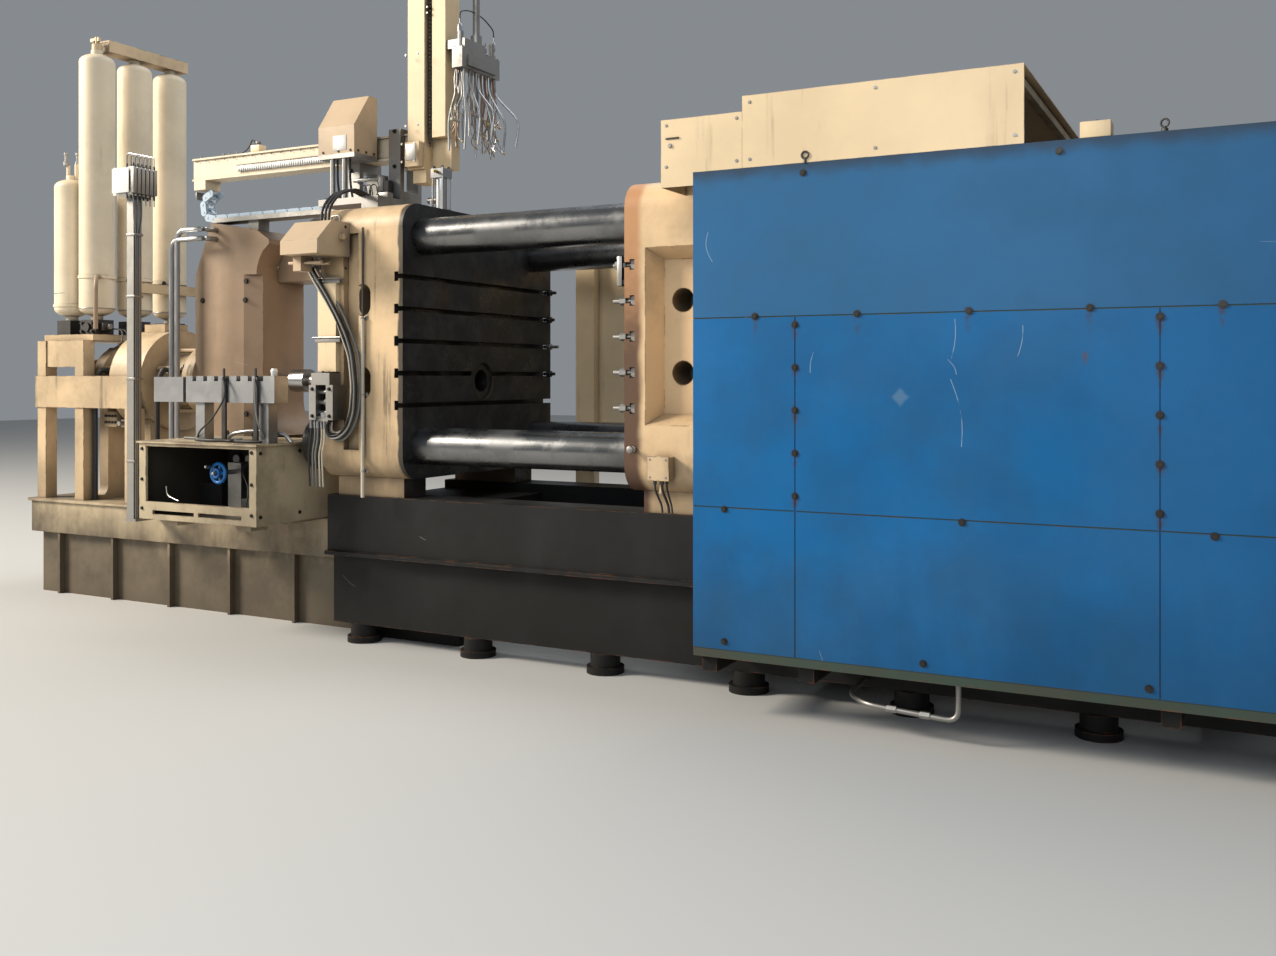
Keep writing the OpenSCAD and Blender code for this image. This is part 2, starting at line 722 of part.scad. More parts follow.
// The shot cylinder: a barrel between two flanges held by tie rods, with a port block
module shot_cylinder() {
  rod_ring = (shot_cyl_d + shot_flange_d) / 4 + 5;
  x1 = column_x0;
  color("wheat") {
    x_bar(shot_cyl_x0, x1, 0, shot_z, shot_cyl_d / 2);
    for (x = [shot_cyl_x0, x1 - shot_flange_l]) {
      x_bar(x, x + shot_flange_l, 0, shot_z, shot_flange_d / 2);
    }
    x_bar(shot_cyl_x0 - 260, shot_cyl_x0 + eps, 0, shot_z, shot_cyl_d / 3);
    x_bar(shot_cyl_x0 - 300, shot_cyl_x0 - 240, 0, shot_z, shot_cyl_d / 3 + 30);
    for (a = [22.5:45:359]) {
      x_bar(shot_cyl_x0, x1, rod_ring * cos(a), shot_z + rod_ring * sin(a), 17);
    }
    x_bar(shot_body_x0, shot_body_x1, 0, shot_z, shot_body_d / 2);
    block([shot_body_x0 + 60, -110, shot_z + shot_body_d / 2 - 30],
          [shot_body_x1 - 60, 110, shot_z + shot_body_d / 2 + 50]);
  }
}

// The two supports of the shot cylinder: a saddle under its rear flange, which flares out in
// two curves to its foot, and a pedestal under the round housing
module shot_stand() {
  pedestal_half = 260;
  waist = 210;
  foot = 320;
  h = shot_z - shot_bed_top - 40;
  color("wheat") difference() {
    translate([shot_cyl_x0 + 5, 0, shot_bed_top]) rotate([90, 0, 90])
      linear_extrude(shot_flange_l - 10) {
        translate([-waist, 0]) square([2 * waist, h]);
        for (s = [0, 1]) mirror([s, 0]) translate([waist - eps, 0]) fillet(foot - waist);
        translate([-foot, 0]) square([2 * foot, 30]);
      }
    x_bar(shot_cyl_x0, shot_cyl_x0 + shot_flange_l, 0, shot_z, shot_flange_d / 2 + seat);
  }
  color("wheat") difference() {
    block([shot_body_x0 + 50, -pedestal_half, shot_bed_top],
          [shot_body_x1 - 50, pedestal_half, shot_z - shot_body_d / 3]);
    x_bar(shot_body_x0, shot_body_x1, 0, shot_z, shot_body_d / 2 + seat);
  }
}

// An upright pressure bottle of length l: domed ends, a port below and a neck on top
module bottle(l) {
  rise = accu_r * 0.5;
  port = 30;
  lower = [for (a = [20:14:90]) [accu_r * sin(a), port + rise * (1 - cos(a))]];
  upper = [for (a = [90:-14:20]) [accu_r * sin(a), l - port - rise * (1 - cos(a))]];
  rotate_extrude()
    polygon(concat([[0, 0], [accu_r * sin(20), 0]], lower, upper,
                   [[accu_r * sin(20), l], [0, l]]));
}

module accumulators_tall() {
  color("cornsilk") for (y = accu_ys) {
    translate([accu_x, y, accu_bottom]) {
      bottle(accu_tall_l);
      translate([0, 0, accu_band_z]) cylinder(r = accu_r + 7, h = 26);
    }
  }
}

module accumulator_short() {
  color("cornsilk") translate([accu_x - accu_short_back, -accu_front, accu_bottom]) {
    bottle(accu_short_l);
    translate([0, 0, accu_band_z / 3]) cylinder(r = accu_r + 7, h = 20);
    for (x = [-50, 50]) translate([x, 0, accu_short_l - 60]) cylinder(r = 14, h = 150);
  }
}

// The beam over the bottles' tops, the strap across them and the first one's valve
module accumulator_straps() {
  top = accu_bottom + accu_tall_l;
  y0 = accu_ys[0];
  y1 = accu_ys[2] + accu_r;
  z = accu_bottom + 235;
  color("wheat") {
    difference() {
      block([accu_x - 70, y0 + 60, top], [accu_x + 70, y1, top + 95]);
      block([accu_x - 58, y0 + 59, top + 12], [accu_x + 58, y1 + 1, top + 83]);
    }
    for (y = [y0 + 64, y1 - 12]) {
      block([accu_x - 70, y, top], [accu_x + 70, y + 12, top + 95]);
    }
    block([accu_x + accu_r, y0 + accu_pitch / 2, z], [accu_x + accu_r + 30, y1 + 60, z + 80]);
  }
  color("gray") translate([accu_x, y0, top]) {
    cylinder(r = 40, h = 50);
    cylinder(r = 18, h = 110);
    translate([-70, -12, 75]) cube([100, 24, 30]);
  }
}

// A shelf on four posts, with a plate towards the operator and a long side box on each
// side, whose far end stands on a post of its own
module accumulator_stand() {
  post = 100;
  box_z0 = 1480;
  box_z1 = 1731;
  box_t = 30;
  box_x1 = shot_body_x1 - 14;
  y0 = accu_ys[0] - accu_r - 20;
  y1 = accu_ys[2] + accu_r + 20;
  x0 = accu_x - accu_short_back - accu_r;
  x1 = accu_x + accu_r + 20;
  shelf = accu_bottom - manifold_h;
  color("wheat") {
    block([x0, y0, shelf - 50], [x1, y1, shelf]);
    for (x = [x0 + 20, x1 - 20 - post], y = [-shot_bed_half_w + 20, shot_bed_half_w - 20 - post]) {
      block([x, y, shot_bed_top], [x + post, y + post, shelf - 50 + eps]);
    }
    for (s = [0, 1]) mirror([0, s, 0]) {
      block([x0 + 5, -shot_bed_half_w - box_t + 40, box_z0],
            [box_x1, -shot_bed_half_w + 40, box_z1]);
      block([box_x1 - post, -shot_bed_half_w + 5, shot_bed_top],
            [box_x1, -shot_bed_half_w + 5 + post, box_z0 + eps]);
    }
    block([x0 + 110, -shot_bed_half_w + 30, shelf - 260],
          [x1 - 110, -shot_bed_half_w + 50, shelf - 50 + eps]);
  }
}

// Valve blocks under the bottles, each with a port stub on the operator's side
module accumulator_manifold() {
  shelf = accu_bottom - manifold_h;
  color("dimgray") {
    for (y = accu_ys) {
      block([accu_x - 90, y - 85, shelf], [accu_x + 90, y + 85, accu_bottom]);
      y_bar(accu_x, y - 105, y - 85 + eps, shelf + manifold_h / 2, 35);
    }
    translate([accu_x - accu_short_back, -accu_front, 0])
      block([-80, -80, shelf], [80, 80, accu_bottom]);
  }
}

module lube_post() {
  x = column_x0 - 154;
  y = -735;
  w = 70;
  color("silver") {
    block([x, y, shot_bed_top - 60], [x + w, y + w, lube_z]);
    block([x - 20, y, shot_bed_top - 80], [x + w + 20, -shot_bed_half_w, shot_bed_top - 60]);
  }
}

// The lubricant distributor: a white box with a row of outlets below its front
module lube_distributor() {
  x0 = column_x0 - 220;
  side = 200;
  y0 = -800;
  color("white") {
    block([x0, y0, lube_z], [x0 + side, y0 + side, lube_z + side]);
    for (i = [0:4]) y_bar(x0 + 28 + i * 36, y0 - 16, y0 + eps, lube_z + 30, 8);
  }
}

// Two pipes that rise beside the column and bend over to its top
module shot_pipes() {
  y = -c_frame_t / 2 - 120;
  color("silver") for (i = [0, 1]) {
    x = column_x0 - 60 - i * 60;
    top = c_frame_top - 60 - i * 70;
    tube(bent([[x, y, shot_bed_top], [x, y, top], [column_x0 + 220, y, top],
               [column_x0 + 220, -c_frame_t / 2, top]], 90), 20, ref = [0.7, 0.7, 0.1]);
  }
}

// The spray beam: a box with lips along its top and bottom edges and an end block
module spray_beam() {
  lip = 14;
  color("wheat") {
    block([beam_x0, beam_y - beam_w / 2 + lip, beam_z],
          [beam_x1, beam_y + beam_w / 2, beam_z + beam_h]);
    for (z = [beam_z, beam_z + beam_h - lip]) {
      block([beam_x0, beam_y - beam_w / 2, z], [beam_x1, beam_y - beam_w / 2 + lip + eps, z + lip]);
    }
    block([beam_x0 + 20, beam_y - beam_w / 2, beam_z - beam_foot_h],
          [beam_x0 + 140, beam_y + beam_w / 2, beam_z + eps]);
  }
}

// The bracket on the fixed platen that carries and guides the beam, the shelf for
// the upper motor, and the tray for the cable chain
module spray_guide() {
  gap = beam_gap;
  y0 = beam_y - beam_w / 2 - gap;
  y1 = beam_y + beam_w / 2 + gap;
  wall = 40;
  ring_l = 100;
  base_top = guide_z + 45;
  ring_top = beam_z + beam_h + gap + 30;
  tray_x0 = column_x0 + c_chamfer_w + 10;
  foot_x0 = column_x1 - 120;
  foot_x1 = column_x1 - 20;
  color("gray") {
    block([motor_x0, motor_y0, guide_z], [guide_x1, y1 + wall, base_top]);
    block([fixed_back_x + 20, motor_y0, platen_top], [guide_x1, y1 + wall, guide_z + eps]);
    for (x = [motor_x0 + 60, guide_x1 - ring_l]) {
      difference() {
        block([x, y0 - wall, base_top - eps], [x + ring_l, y1 + wall, ring_top]);
        block([x - 1, y0, beam_z - gap], [x + ring_l + 1, y1, beam_z + beam_h + gap]);
        block([x - 1, y0, base_top + 60], [x + ring_l + 1, y1, beam_z - gap - 60]);
      }
    }
    block([motor_x0, motor_y0, motor_z - 30], [motor_x0 + motor_w, y0 - wall + eps, motor_z]);
    for (x = [motor_x0 + motor_w / 3, motor_x0 + motor_w * 2 / 3]) {
      translate([x, motor_y0 + 25, guide_z]) cylinder(r = 18, h = motor_z - 30 - guide_z + eps);
    }
    block([tray_x0, beam_y - chain_w / 2 - 20, guide_z],
          [motor_x0 + eps, beam_y + chain_w / 2 + 20, guide_z + tray_t]);
    for (y = [beam_y - chain_w / 2 - 20, beam_y + chain_w / 2 + 14]) {
      block([tray_x0, y, guide_z], [motor_x0 + eps, y + 6, guide_z + 34]);
    }
    translate([0, beam_y + chain_w / 2, 0]) rotate([90, 0, 0]) linear_extrude(chain_w)
      polygon([[foot_x0, c_top_at(foot_x0) + seat], [foot_x1, c_top_at(foot_x1) + seat],
               [foot_x1, guide_z + eps], [foot_x0, guide_z + eps]]);
  }
}

// One side plate of a chain link from p to q in the XZ plane, from y to y + t
module link_plate(p, q, y, t) {
  d = q - p;
  translate([0, y + t, 0]) rotate([90, 0, 0]) linear_extrude(t) {
    for (c = [p, q]) translate(c) circle(chain_t / 2);
    translate(p) rotate(atan2(d[1], d[0])) translate([0, chain_waist - chain_t / 2])
      square([norm(d), chain_t - 2 * chain_waist]);
  }
}

// One link: two side plates joined by two crossbars; the wide links carry the pins,
// which hold the narrow links' plates just inside their own
module chain_link(p, q, wide) {
  pin_r = 9;
  pin_head = 3;
  bar_t = 8;
  bar_l = chain_pitch / 4;
  half = chain_w / 2 - pin_head - (wide ? 0 : chain_plate_t + chain_play);
  d = q - p;
  for (s = [-1, 1]) {
    link_plate(p, q, beam_y + s * half - (s > 0 ? chain_plate_t : 0), chain_plate_t);
    if (wide) for (c = [p, q]) {
      translate([0, beam_y + s * half + (s > 0 ? pin_head : 0), 0]) rotate([90, 0, 0])
        translate([c[0], c[1], s > 0 ? 0 : -chain_plate_t - chain_play - 2 * seat])
          cylinder(r = pin_r, h = pin_head + chain_plate_t + chain_play + 2 * seat);
    }
  }
  for (v = [2 * chain_waist - chain_t / 2, chain_t / 2 - 2 * chain_waist - bar_t]) {
    translate([0, beam_y + half - chain_plate_t + eps, 0]) rotate([90, 0, 0])
      linear_extrude(2 * (half - chain_plate_t + eps)) translate(p) rotate(atan2(d[1], d[0]))
        translate([(norm(d) - bar_l) / 2, v]) square([bar_l, bar_t]);
  }
}

// Place on the chain's centre line at the length s from its upper end
function chain_at(s) =
  let (r = (chain_top - chain_low) / 2, top_l = chain_x1 - chain_x0, arc = PI * r)
  s < top_l ? [chain_x1 - s, chain_top]
  : s < top_l + arc
    ? [chain_x0 - r * sin((s - top_l) / r * 180 / PI),
       chain_low + r + r * cos((s - top_l) / r * 180 / PI)]
    : [chain_x0 + (s - top_l - arc), chain_low];

// The cable chain: separate links from the beam's end block round a C down to the tray
module cable_chain() {
  length = chain_x1 - chain_x0 + PI * (chain_top - chain_low) / 2 + chain_end_x - chain_x0;
  count = floor(length / chain_pitch);
  color("lightsteelblue") for (i = [0:count - 1]) {
    chain_link(chain_at(i * chain_pitch), chain_at((i + 1) * chain_pitch), i % 2 == 0);
  }
}

// A motor housing with a sloped front roof: w along X, d across, h high
module motor_house(w, d, h, slope_d, slope_h) {
  rotate([90, 0, 90]) linear_extrude(w)
    polygon([[0, 0], [d, 0], [d, h], [slope_d, h], [0, h - slope_h]]);
}

// The upper motor cover on its shelf beside the spray beam
module upper_motor_cover() {
  d = beam_y - beam_w / 2 - beam_gap - 40 - motor_y0;
  h = 407;
  slope_d = 150;
  slope_h = 220;
  color("tan") translate([motor_x0, motor_y0, motor_z])
    motor_house(motor_w, d, h, slope_d, slope_h);
}

// The lower motor cover on the fixed platen's side, with a gear block and two rods below
module lower_motor_cover() {
  w = 302;
  d = 295;
  h = 216;
  y = -platen_half - d;
  block_x = lower_motor_x0 + 20;
  color("tan") {
    translate([lower_motor_x0, y, lower_motor_z]) motor_house(w, d, h, 130, 130);
    block([block_x, y + 90, lower_motor_z - 95],
          [block_x + 66, -platen_half - 110, lower_motor_z + eps]);
    for (dy = [120, 190]) {
      x_bar(block_x - 60, block_x + 210, y + dy, lower_motor_z - 42, 11);
    }
  }
}

// The mast: a column and a rail strip with a slot between them, and the lift's gear block
module spray_mast() {
  gear_h = 210;
  color("wheat") {
    block([mast_x, mast_y0, mast_z], [mast_x + mast_w, mast_y1, mast_top]);
    block([mast_x + mast_w - eps, mast_y0 + mast_depth / 2, mast_z],
          [mast_x1, mast_y1, mast_top]);
    block([mast_x1 - mast_rail_w, mast_y0 + 20, mast_z + gear_h],
          [mast_x1, mast_y0 + mast_depth / 2 + eps, mast_top]);
    block([mast_x + 10, mast_y0 - 45, mast_z + 15],
          [mast_x + mast_w - 10, mast_y0 + eps, mast_z + gear_h - 30]);
    block([mast_x + 30, mast_y0 + 20, mast_z - 90], [mast_x + mast_w, mast_y1 - 20, mast_z + eps]);
  }
}

// The spray head: a manifold across the die space, held by an arm from the mast's rail,
// with a lift rod, its hub and two small valves on top
module spray_head() {
  y0 = beam_y - spray_head_l / 2 + 130;
  y1 = y0 + spray_head_l;
  top = spray_head_z + spray_head_h;
  rod_x = head_x + spray_head_w / 2;
  rod_y = (y0 + y1) / 2;
  color("gray") {
    block([head_x, y0, spray_head_z], [head_x + spray_head_w, y1, top]);
    block([head_x - 14, y0 + 60, spray_head_z + 20],
          [head_x + spray_head_w + 14, y1 - 60, spray_head_z + spray_head_h - 45]);
    block([mast_x1, mast_y0 + 30, top], [head_x + spray_head_w, mast_y1, top + 60]);
    block([head_x, mast_y0 + 30, top - eps], [head_x + spray_head_w, rod_y + 50, top + 60]);
    translate([rod_x, rod_y, top]) {
      cylinder(r = 38, h = 120);
      cylinder(r = 24, h = 560);
    }
    for (y = [y0 + 40, y1 - 40]) translate([rod_x, y, top - eps]) cylinder(r = 20, h = 110);
  }
}

// Two rows of bent tubes under the manifold: each drops straight, then splays outwards
module spray_tubes() {
  y0 = beam_y - spray_head_l / 2 + 130;
  step = (spray_head_l - 80) / (spray_tube_count - 1);
  color("dimgray") for (i = [0:spray_tube_count - 1], s = [-1, 1]) {
    x = head_x + spray_head_w / 2 + s * (spray_head_w / 2 - 14);
    y = y0 + 40 + i * step;
    drop = spray_tube_drop - 45 * (i % 3);
    splay = s > 0 ? 70 + 45 * (i % 3) : -20 - 18 * (i % 3);
    z = spray_head_z - seat;
    lean = (i - (spray_tube_count - 1) / 2) * 28;
    tube(bent([[x, y, z], [x, y, z - 110], [x + splay, y + lean, z - drop * 0.62],
               [x + splay * 0.8, y + lean, z - drop]], 60, 3), spray_tube_r, 8, ref = [0, 1, 0.01]);
  }
}

// A core-pull cylinder on the fixed platen: a barrel, a square head and four tie rods
module core_cylinder() {
  h = 290;
  side = 100;
  cap = 60;
  x = -side - 30;
  y = -300;
  color("silver") translate([x, y, platen_top]) {
    translate([-side / 2, -side / 2, 0]) cube([side, side, 24]);
    cylinder(r = 38, h = h);
    translate([-side / 2, -side / 2, h - cap]) cube([side, side, cap]);
    for (a = [-1, 1], b = [-1, 1]) translate([a * 40, b * 40, 0]) cylinder(r = 6, h = h + 8);
  }
}

// The hose bundle down the fixed platen's side, from the lower motor to the valve unit
module platen_hoses() {
  color("black") tube(bent(hose_route, 24, 3), hose_r, 12, ref = [0, 1, 0.02]);
}

// The cable duct on the fixed platen's side, open at both ends
module cable_duct() {
  y = -platen_half - duct_depth;
  color("cornsilk") {
    difference() {
      block([duct_x, y, duct_z], [duct_x + duct_w, -platen_half, duct_z + duct_h]);
      block([duct_x + duct_wall, y + duct_wall, duct_z - 1],
            [duct_x + duct_w - duct_wall, -platen_half - duct_wall, duct_z + duct_h + 1]);
    }
  }
}

// The open-fronted valve cabinet: a sheet box with stiles, a slotted sill and a lid that
// overhangs it, on a base that stands out from the shot bed
module valve_cabinet() {
  w = cabinet_wall;
  lip = 16;
  slot_l = cabinet_w * 0.36;
  color("cornsilk") {
    difference() {
      block([cabinet_x0, cabinet_y0, cabinet_z], [cabinet_x1, cabinet_y1, cabinet_z1]);
      block([cabinet_x0 + w, cabinet_y0 + w, cabinet_z + w],
            [cabinet_x1 - w, cabinet_y1 - w, cabinet_z1 - w]);
      block([cabinet_x0 + cabinet_stile, cabinet_y0 - 1, cabinet_z + cabinet_sill],
            [cabinet_x1 - cabinet_stile, cabinet_y0 + w + 1, cabinet_z1 - w]);
      for (x = [wheel_x - slot_l - 20, wheel_x + 20]) {
        block([x, cabinet_y0 - 1, cabinet_z + 36], [x + slot_l, cabinet_y0 + w + 1, cabinet_z + 62]);
      }
    }
    block([cabinet_x0 - lip, cabinet_y0 - lip, cabinet_z1 - eps],
          [cabinet_x1 + lip, cabinet_y1, cabinet_z1 + cabinet_lid_t]);
    block([cabinet_x0 + 60, cabinet_y0 + 360, shot_bed_top],
          [cabinet_x1 - 60, cabinet_y1 - w, cabinet_z + eps]);
    for (x = [cabinet_x0 + 140, cabinet_x1 - 260]) {
      block([x, cabinet_y0 + 90, cabinet_z - 46], [x + 120, cabinet_y0 + 240, cabinet_z + eps]);
    }
  }
}

// The bearing block on the cabinet's floor, with the handwheel's spindle
module wheel_bracket() {
  half = 60;
  behind = 140;
  block_d = 150;
  color("gray") {
    block([wheel_x - half, wheel_y + behind, cabinet_z + cabinet_wall],
          [wheel_x + half, wheel_y + behind + block_d, wheel_z + half]);
    y_bar(wheel_x, wheel_y - 40, wheel_y + behind + eps, wheel_z, spindle_r);
  }
}

// The five-spoked handwheel, free to turn on its spindle
module handwheel() {
  rim = 12;
  hub_r = 32;
  color("royalblue") difference() {
    union() {
      y_bar(wheel_x, wheel_y - 25, wheel_y + 25, wheel_z, hub_r);
      translate([wheel_x, wheel_y, wheel_z]) {
        rotate([90, 0, 0]) rotate_extrude() translate([wheel_d / 2 - rim, 0]) circle(rim);
        for (a = [0:4]) rotate([0, a * 72, 0])
          translate([hub_r - 7, -6, -9]) cube([wheel_d / 2 - hub_r - 8, 12, 18]);
      }
    }
    y_bar(wheel_x, wheel_y - 26, wheel_y + 26, wheel_z, spindle_r + 0.1);
  }
}

// The aluminium rail over the cabinet, notched along its top, on two legs
module ladle_rail() {
  x0 = -1660;
  x1 = -870;
  y0 = -1060;
  y1 = -940;
  z1 = rail_z0 + 174;
  notch = 34;
  color("silver") {
    difference() {
      block([x0, y0, rail_z0], [x1, y1, z1]);
      for (x = [x0 + 60:rail_notch_pitch:x1 - 60]) {
        block([x, y0 - 1, z1 - notch], [x + rail_notch_pitch * 0.35, y0 + 40, z1 + 1]);
      }
    }
    block([x0 - 330, y0 + 20, rail_z0], [x0 - 50, y1, z1 - 6]);
    block([x0 - 51, y0 + 60, rail_z0 + 50], [x0 + eps, y1 - 20, rail_z0 + 110]);
    for (x = [x0 + 70, x1 - 150]) {
      block([x, y0 + 20, cabinet_z1 + cabinet_lid_t], [x + 80, y1 - 20, rail_z0 + eps]);
    }
  }
}

// The valve unit on the fixed platen's side: two plates, chrome rods between them, a
// cone and a block on top, and the block that the hoses enter
module valve_unit() {
  y0 = -platen_half - 115;
  xs = [fixed_back_x + 5, -515];
  plate_w = 56;
  top = valve_z0 + 220;
  mid_y = y0 + 45;
  color("gray") {
    for (x = xs) block([x, y0, valve_z0], [x + plate_w, -platen_half, top]);
    for (z = [valve_z0 + 45, valve_z0 + 175]) x_bar(xs[0], xs[1] + plate_w, mid_y, z, 14);
    block([xs[0] + 10, y0 + 10, top - eps], [xs[0] + 160, -platen_half, top + 76]);
    translate([xs[1] - 50, mid_y, valve_z0 + 110]) rotate([0, 90, 0])
      cylinder(r1 = 16, r2 = 42, h = 50 + eps);
    x_bar(xs[0], xs[1] - 50 + eps, mid_y, valve_z0 + 110, 16);
    block([xs[0] + plate_w - eps, hose_y - 30, valve_z0 - 10],
          [xs[1] + eps, -platen_half, valve_z0 + 24]);
  }
}

module guard_outriggers() {
  color("dimgray") for (s = [-1, 1], x = guard_xs) {
    y0 = bed_half_w - bed_inset;
    y1 = guard_half_w - panel_t - rail_depth;
    block([x, s > 0 ? y0 : -y1, outrigger_z], [x + post_w, s > 0 ? y1 : -y0, guard_foot_z]);
  }
}

module guard_posts() {
  y1 = guard_half_w - panel_t - rail_depth;
  color("dimgray") for (s = [-1, 1], x = guard_xs) {
    block([x, s > 0 ? y1 - post_w : -y1, guard_foot_z],
          [x + post_w, s > 0 ? y1 : -y1 + post_w, guard_high]);
  }
}

module guard_rails() {
  y1 = guard_half_w - panel_t;
  zs = [guard_low - rail_h + 20, seam_low - rail_h / 2, seam_high - rail_h / 2,
        guard_high - rail_h];
  color("seagreen") for (s = [-1, 1], z = zs) {
    block([guard_start, s > 0 ? y1 - rail_depth : -y1, z],
          [guard_x1, s > 0 ? y1 : -y1 + rail_depth, z + rail_h]);
  }
}

// The flat sheets on one side, in three rows
module guard_sheets(s) {
  y0 = s > 0 ? guard_half_w - panel_t : -guard_half_w;
  rows = [[guard_low, seam_low], [seam_low, seam_high]];
  for (row = rows, i = [0:2]) {
    block([seam_xs[i] + (i == 0 ? 0 : panel_seam / 2), y0, row[0]],
          [seam_xs[i + 1] - (i == 2 ? 0 : panel_seam / 2), y0 + panel_t,
           row[1] - panel_seam]);
  }
  block([guard_start, y0, seam_high], [guard_x1, y0 + panel_t, guard_high]);
}

module guard_panels_front() {
  color("royalblue") guard_sheets(-1);
}

module guard_panels_rear() {
  color("royalblue") guard_sheets(1);
}

// The small cover on the guard's front corner: a box open below, with a lip that hangs
// down in front of the guard's edge, clear of the moving platen
module small_top_cover() {
  x1 = cover_seam_x;
  x0 = x1 - small_cover_l;
  y0 = -guard_half_w;
  y1 = -platen_half - cover_gap;
  lip_z = guard_high - rail_h;
  t = cover_t;
  color("cornsilk") difference() {
    union() {
      block([x0, y0, guard_high], [x1, y1, small_cover_top]);
      block([x0, y0, lip_z], [guard_start - seat, y1, guard_high + eps]);
    }
    block([x0 + t, y0 + t, guard_high - 1], [x1 - t, y1 - t, small_cover_top - t]);
    block([x0 + t, y0 + t, lip_z - 1], [guard_start - seat - t, y1 - t, guard_high]);
  }
}

// The large cover over the guards: a box open below and at its clamp end
module large_top_cover() {
  x0 = cover_seam_x + seat;
  x1 = x0 + big_cover_l;
  t = cover_t;
  color("cornsilk") difference() {
    block([x0, -guard_half_w, guard_high], [x1, guard_half_w, big_cover_top]);
    block([x0 + t, -guard_half_w + t, guard_high - 1],
          [x1 + 1, guard_half_w - t, big_cover_top - t]);
  }
}

// The fixed screen on the far side of the die space, on two posts from the bed
module rear_screen() {
  y1 = guard_half_w - panel_t;
  x0 = 151;
  x1 = daylight - 50;
  screen_low = seam_low - 48;
  screen_high = guard_high - 61;
  post = 160;
  color("ivory") {
    block([x0, y1, screen_low], [x1, y1 + panel_t, screen_high]);
    for (x = [x0 - post / 2, x1 - post / 2]) {
      block([x, y1 - post_w, guard_foot_z], [x + post, y1, screen_high + 20]);
      block([x, bed_half_w - bed_inset, outrigger_z], [x + post_w, y1, guard_foot_z + eps]);
    }
  }
}

// A T-nut with its stud and nut in each T-slot of the moving platen's operator side
module die_clamps() {
  y = -820;
  stud_r = 12;
  nut_r = 24;
  color("gray") for (z = slots) translate([0, 0, centre_z + z]) {
    x_bar(moving_x - 90, moving_x + slot_neck_depth + eps, y, 0, stud_r);
    translate([moving_x - 46, y, 0]) rotate([0, 90, 0]) cylinder(r = nut_r, h = 40, $fn = 6);
    block([moving_x + slot_neck_depth + seat, y - 30, -slot_head_h / 2 + 3],
          [moving_x + slot_neck_depth + 24, y + 30, slot_head_h / 2 - 3]);
  }
}

// The junction box on the moving platen's side, with its conduit stub
module junction_box() {
  x = moving_x + 190;
  side = 120;
  depth = 80;
  z = centre_z - 780;
  y = -platen_half - depth;
  color("cornsilk") {
    block([x, y, z], [x + side, -platen_half, z + side]);
    block([x - 6, y - 6, z - 6], [x + side + 6, y + eps, z + side + 6]);
    translate([x + side / 2, y + depth / 2, platen_low + 8])
      cylinder(r = 11, h = z - platen_low - 8 + eps);
  }
}

bed_rail_front();
bed_rail_rear();
bed_crossbeams();
shot_bed();
fixed_platen();
moving_platen();
link_housing();
tie_bars();
tie_bar_nuts();
clamp_cylinder();
clamp_ram();
c_frame();
shot_sleeve();
plunger_rod();
shot_cylinder();
shot_stand();
accumulators_tall();
accumulator_short();
accumulator_straps();
accumulator_stand();
accumulator_manifold();
lube_distributor();
lube_post();
shot_pipes();
spray_beam();
spray_guide();
cable_chain();
upper_motor_cover();
lower_motor_cover();
spray_mast();
spray_head();
spray_tubes();
core_cylinder();
platen_hoses();
cable_duct();
valve_cabinet();
wheel_bracket();
handwheel();
ladle_rail();
valve_unit();
guard_outriggers();
guard_posts();
guard_rails();
guard_panels_front();
guard_panels_rear();
small_top_cover();
large_top_cover();
rear_screen();
die_clamps();
junction_box();
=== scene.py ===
# %% [markdown]
# This notebook dresses a horizontal cold-chamber die casting machine. Its pieces, sizes and
# joints come ready made from the frame. What is added here is the look: worn paint, grease,
# rust, steel, and the small fasteners, hoses and fittings that the solids leave out.
# All lengths are metres, +X runs to the clamp end, +Y away from the operator and +Z up.

# %% Load the frame
import math
import random

import bmesh
import bpy
from mathutils import Matrix, Vector


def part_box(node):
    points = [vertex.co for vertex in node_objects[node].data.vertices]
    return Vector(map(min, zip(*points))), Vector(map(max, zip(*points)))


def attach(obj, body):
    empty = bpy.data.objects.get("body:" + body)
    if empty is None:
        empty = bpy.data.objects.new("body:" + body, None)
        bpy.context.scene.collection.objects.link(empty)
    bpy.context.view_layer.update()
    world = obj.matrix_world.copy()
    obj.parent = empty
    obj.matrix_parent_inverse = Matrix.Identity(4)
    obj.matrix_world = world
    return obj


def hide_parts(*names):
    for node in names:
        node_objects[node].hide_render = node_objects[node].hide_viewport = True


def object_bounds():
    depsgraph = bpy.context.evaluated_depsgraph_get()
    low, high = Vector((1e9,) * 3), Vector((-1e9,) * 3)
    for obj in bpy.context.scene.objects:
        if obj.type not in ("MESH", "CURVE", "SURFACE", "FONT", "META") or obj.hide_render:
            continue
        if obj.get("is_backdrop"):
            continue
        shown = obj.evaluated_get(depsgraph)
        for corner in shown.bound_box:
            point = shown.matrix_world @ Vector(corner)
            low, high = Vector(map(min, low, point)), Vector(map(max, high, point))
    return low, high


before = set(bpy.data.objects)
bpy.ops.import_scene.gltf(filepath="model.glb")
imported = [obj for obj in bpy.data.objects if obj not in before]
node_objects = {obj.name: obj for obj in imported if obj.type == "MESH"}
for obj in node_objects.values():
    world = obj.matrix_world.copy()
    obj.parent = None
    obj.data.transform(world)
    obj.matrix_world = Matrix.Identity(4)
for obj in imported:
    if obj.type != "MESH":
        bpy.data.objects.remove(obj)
cad_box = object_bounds()
scene = bpy.context.scene


def low(node):
    """The lowest corner of a node's box."""
    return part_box(node)[0]


def high(node):
    """The highest corner of a node's box."""
    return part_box(node)[1]


# %% [markdown]
# The camera stands near the guards, level at eye height and turned towards the shot end. A
# level camera keeps upright edges upright, so the picture's centre is moved down with a small
# shift in place of a tilt. Its place, turn and lens were fitted to the photograph.

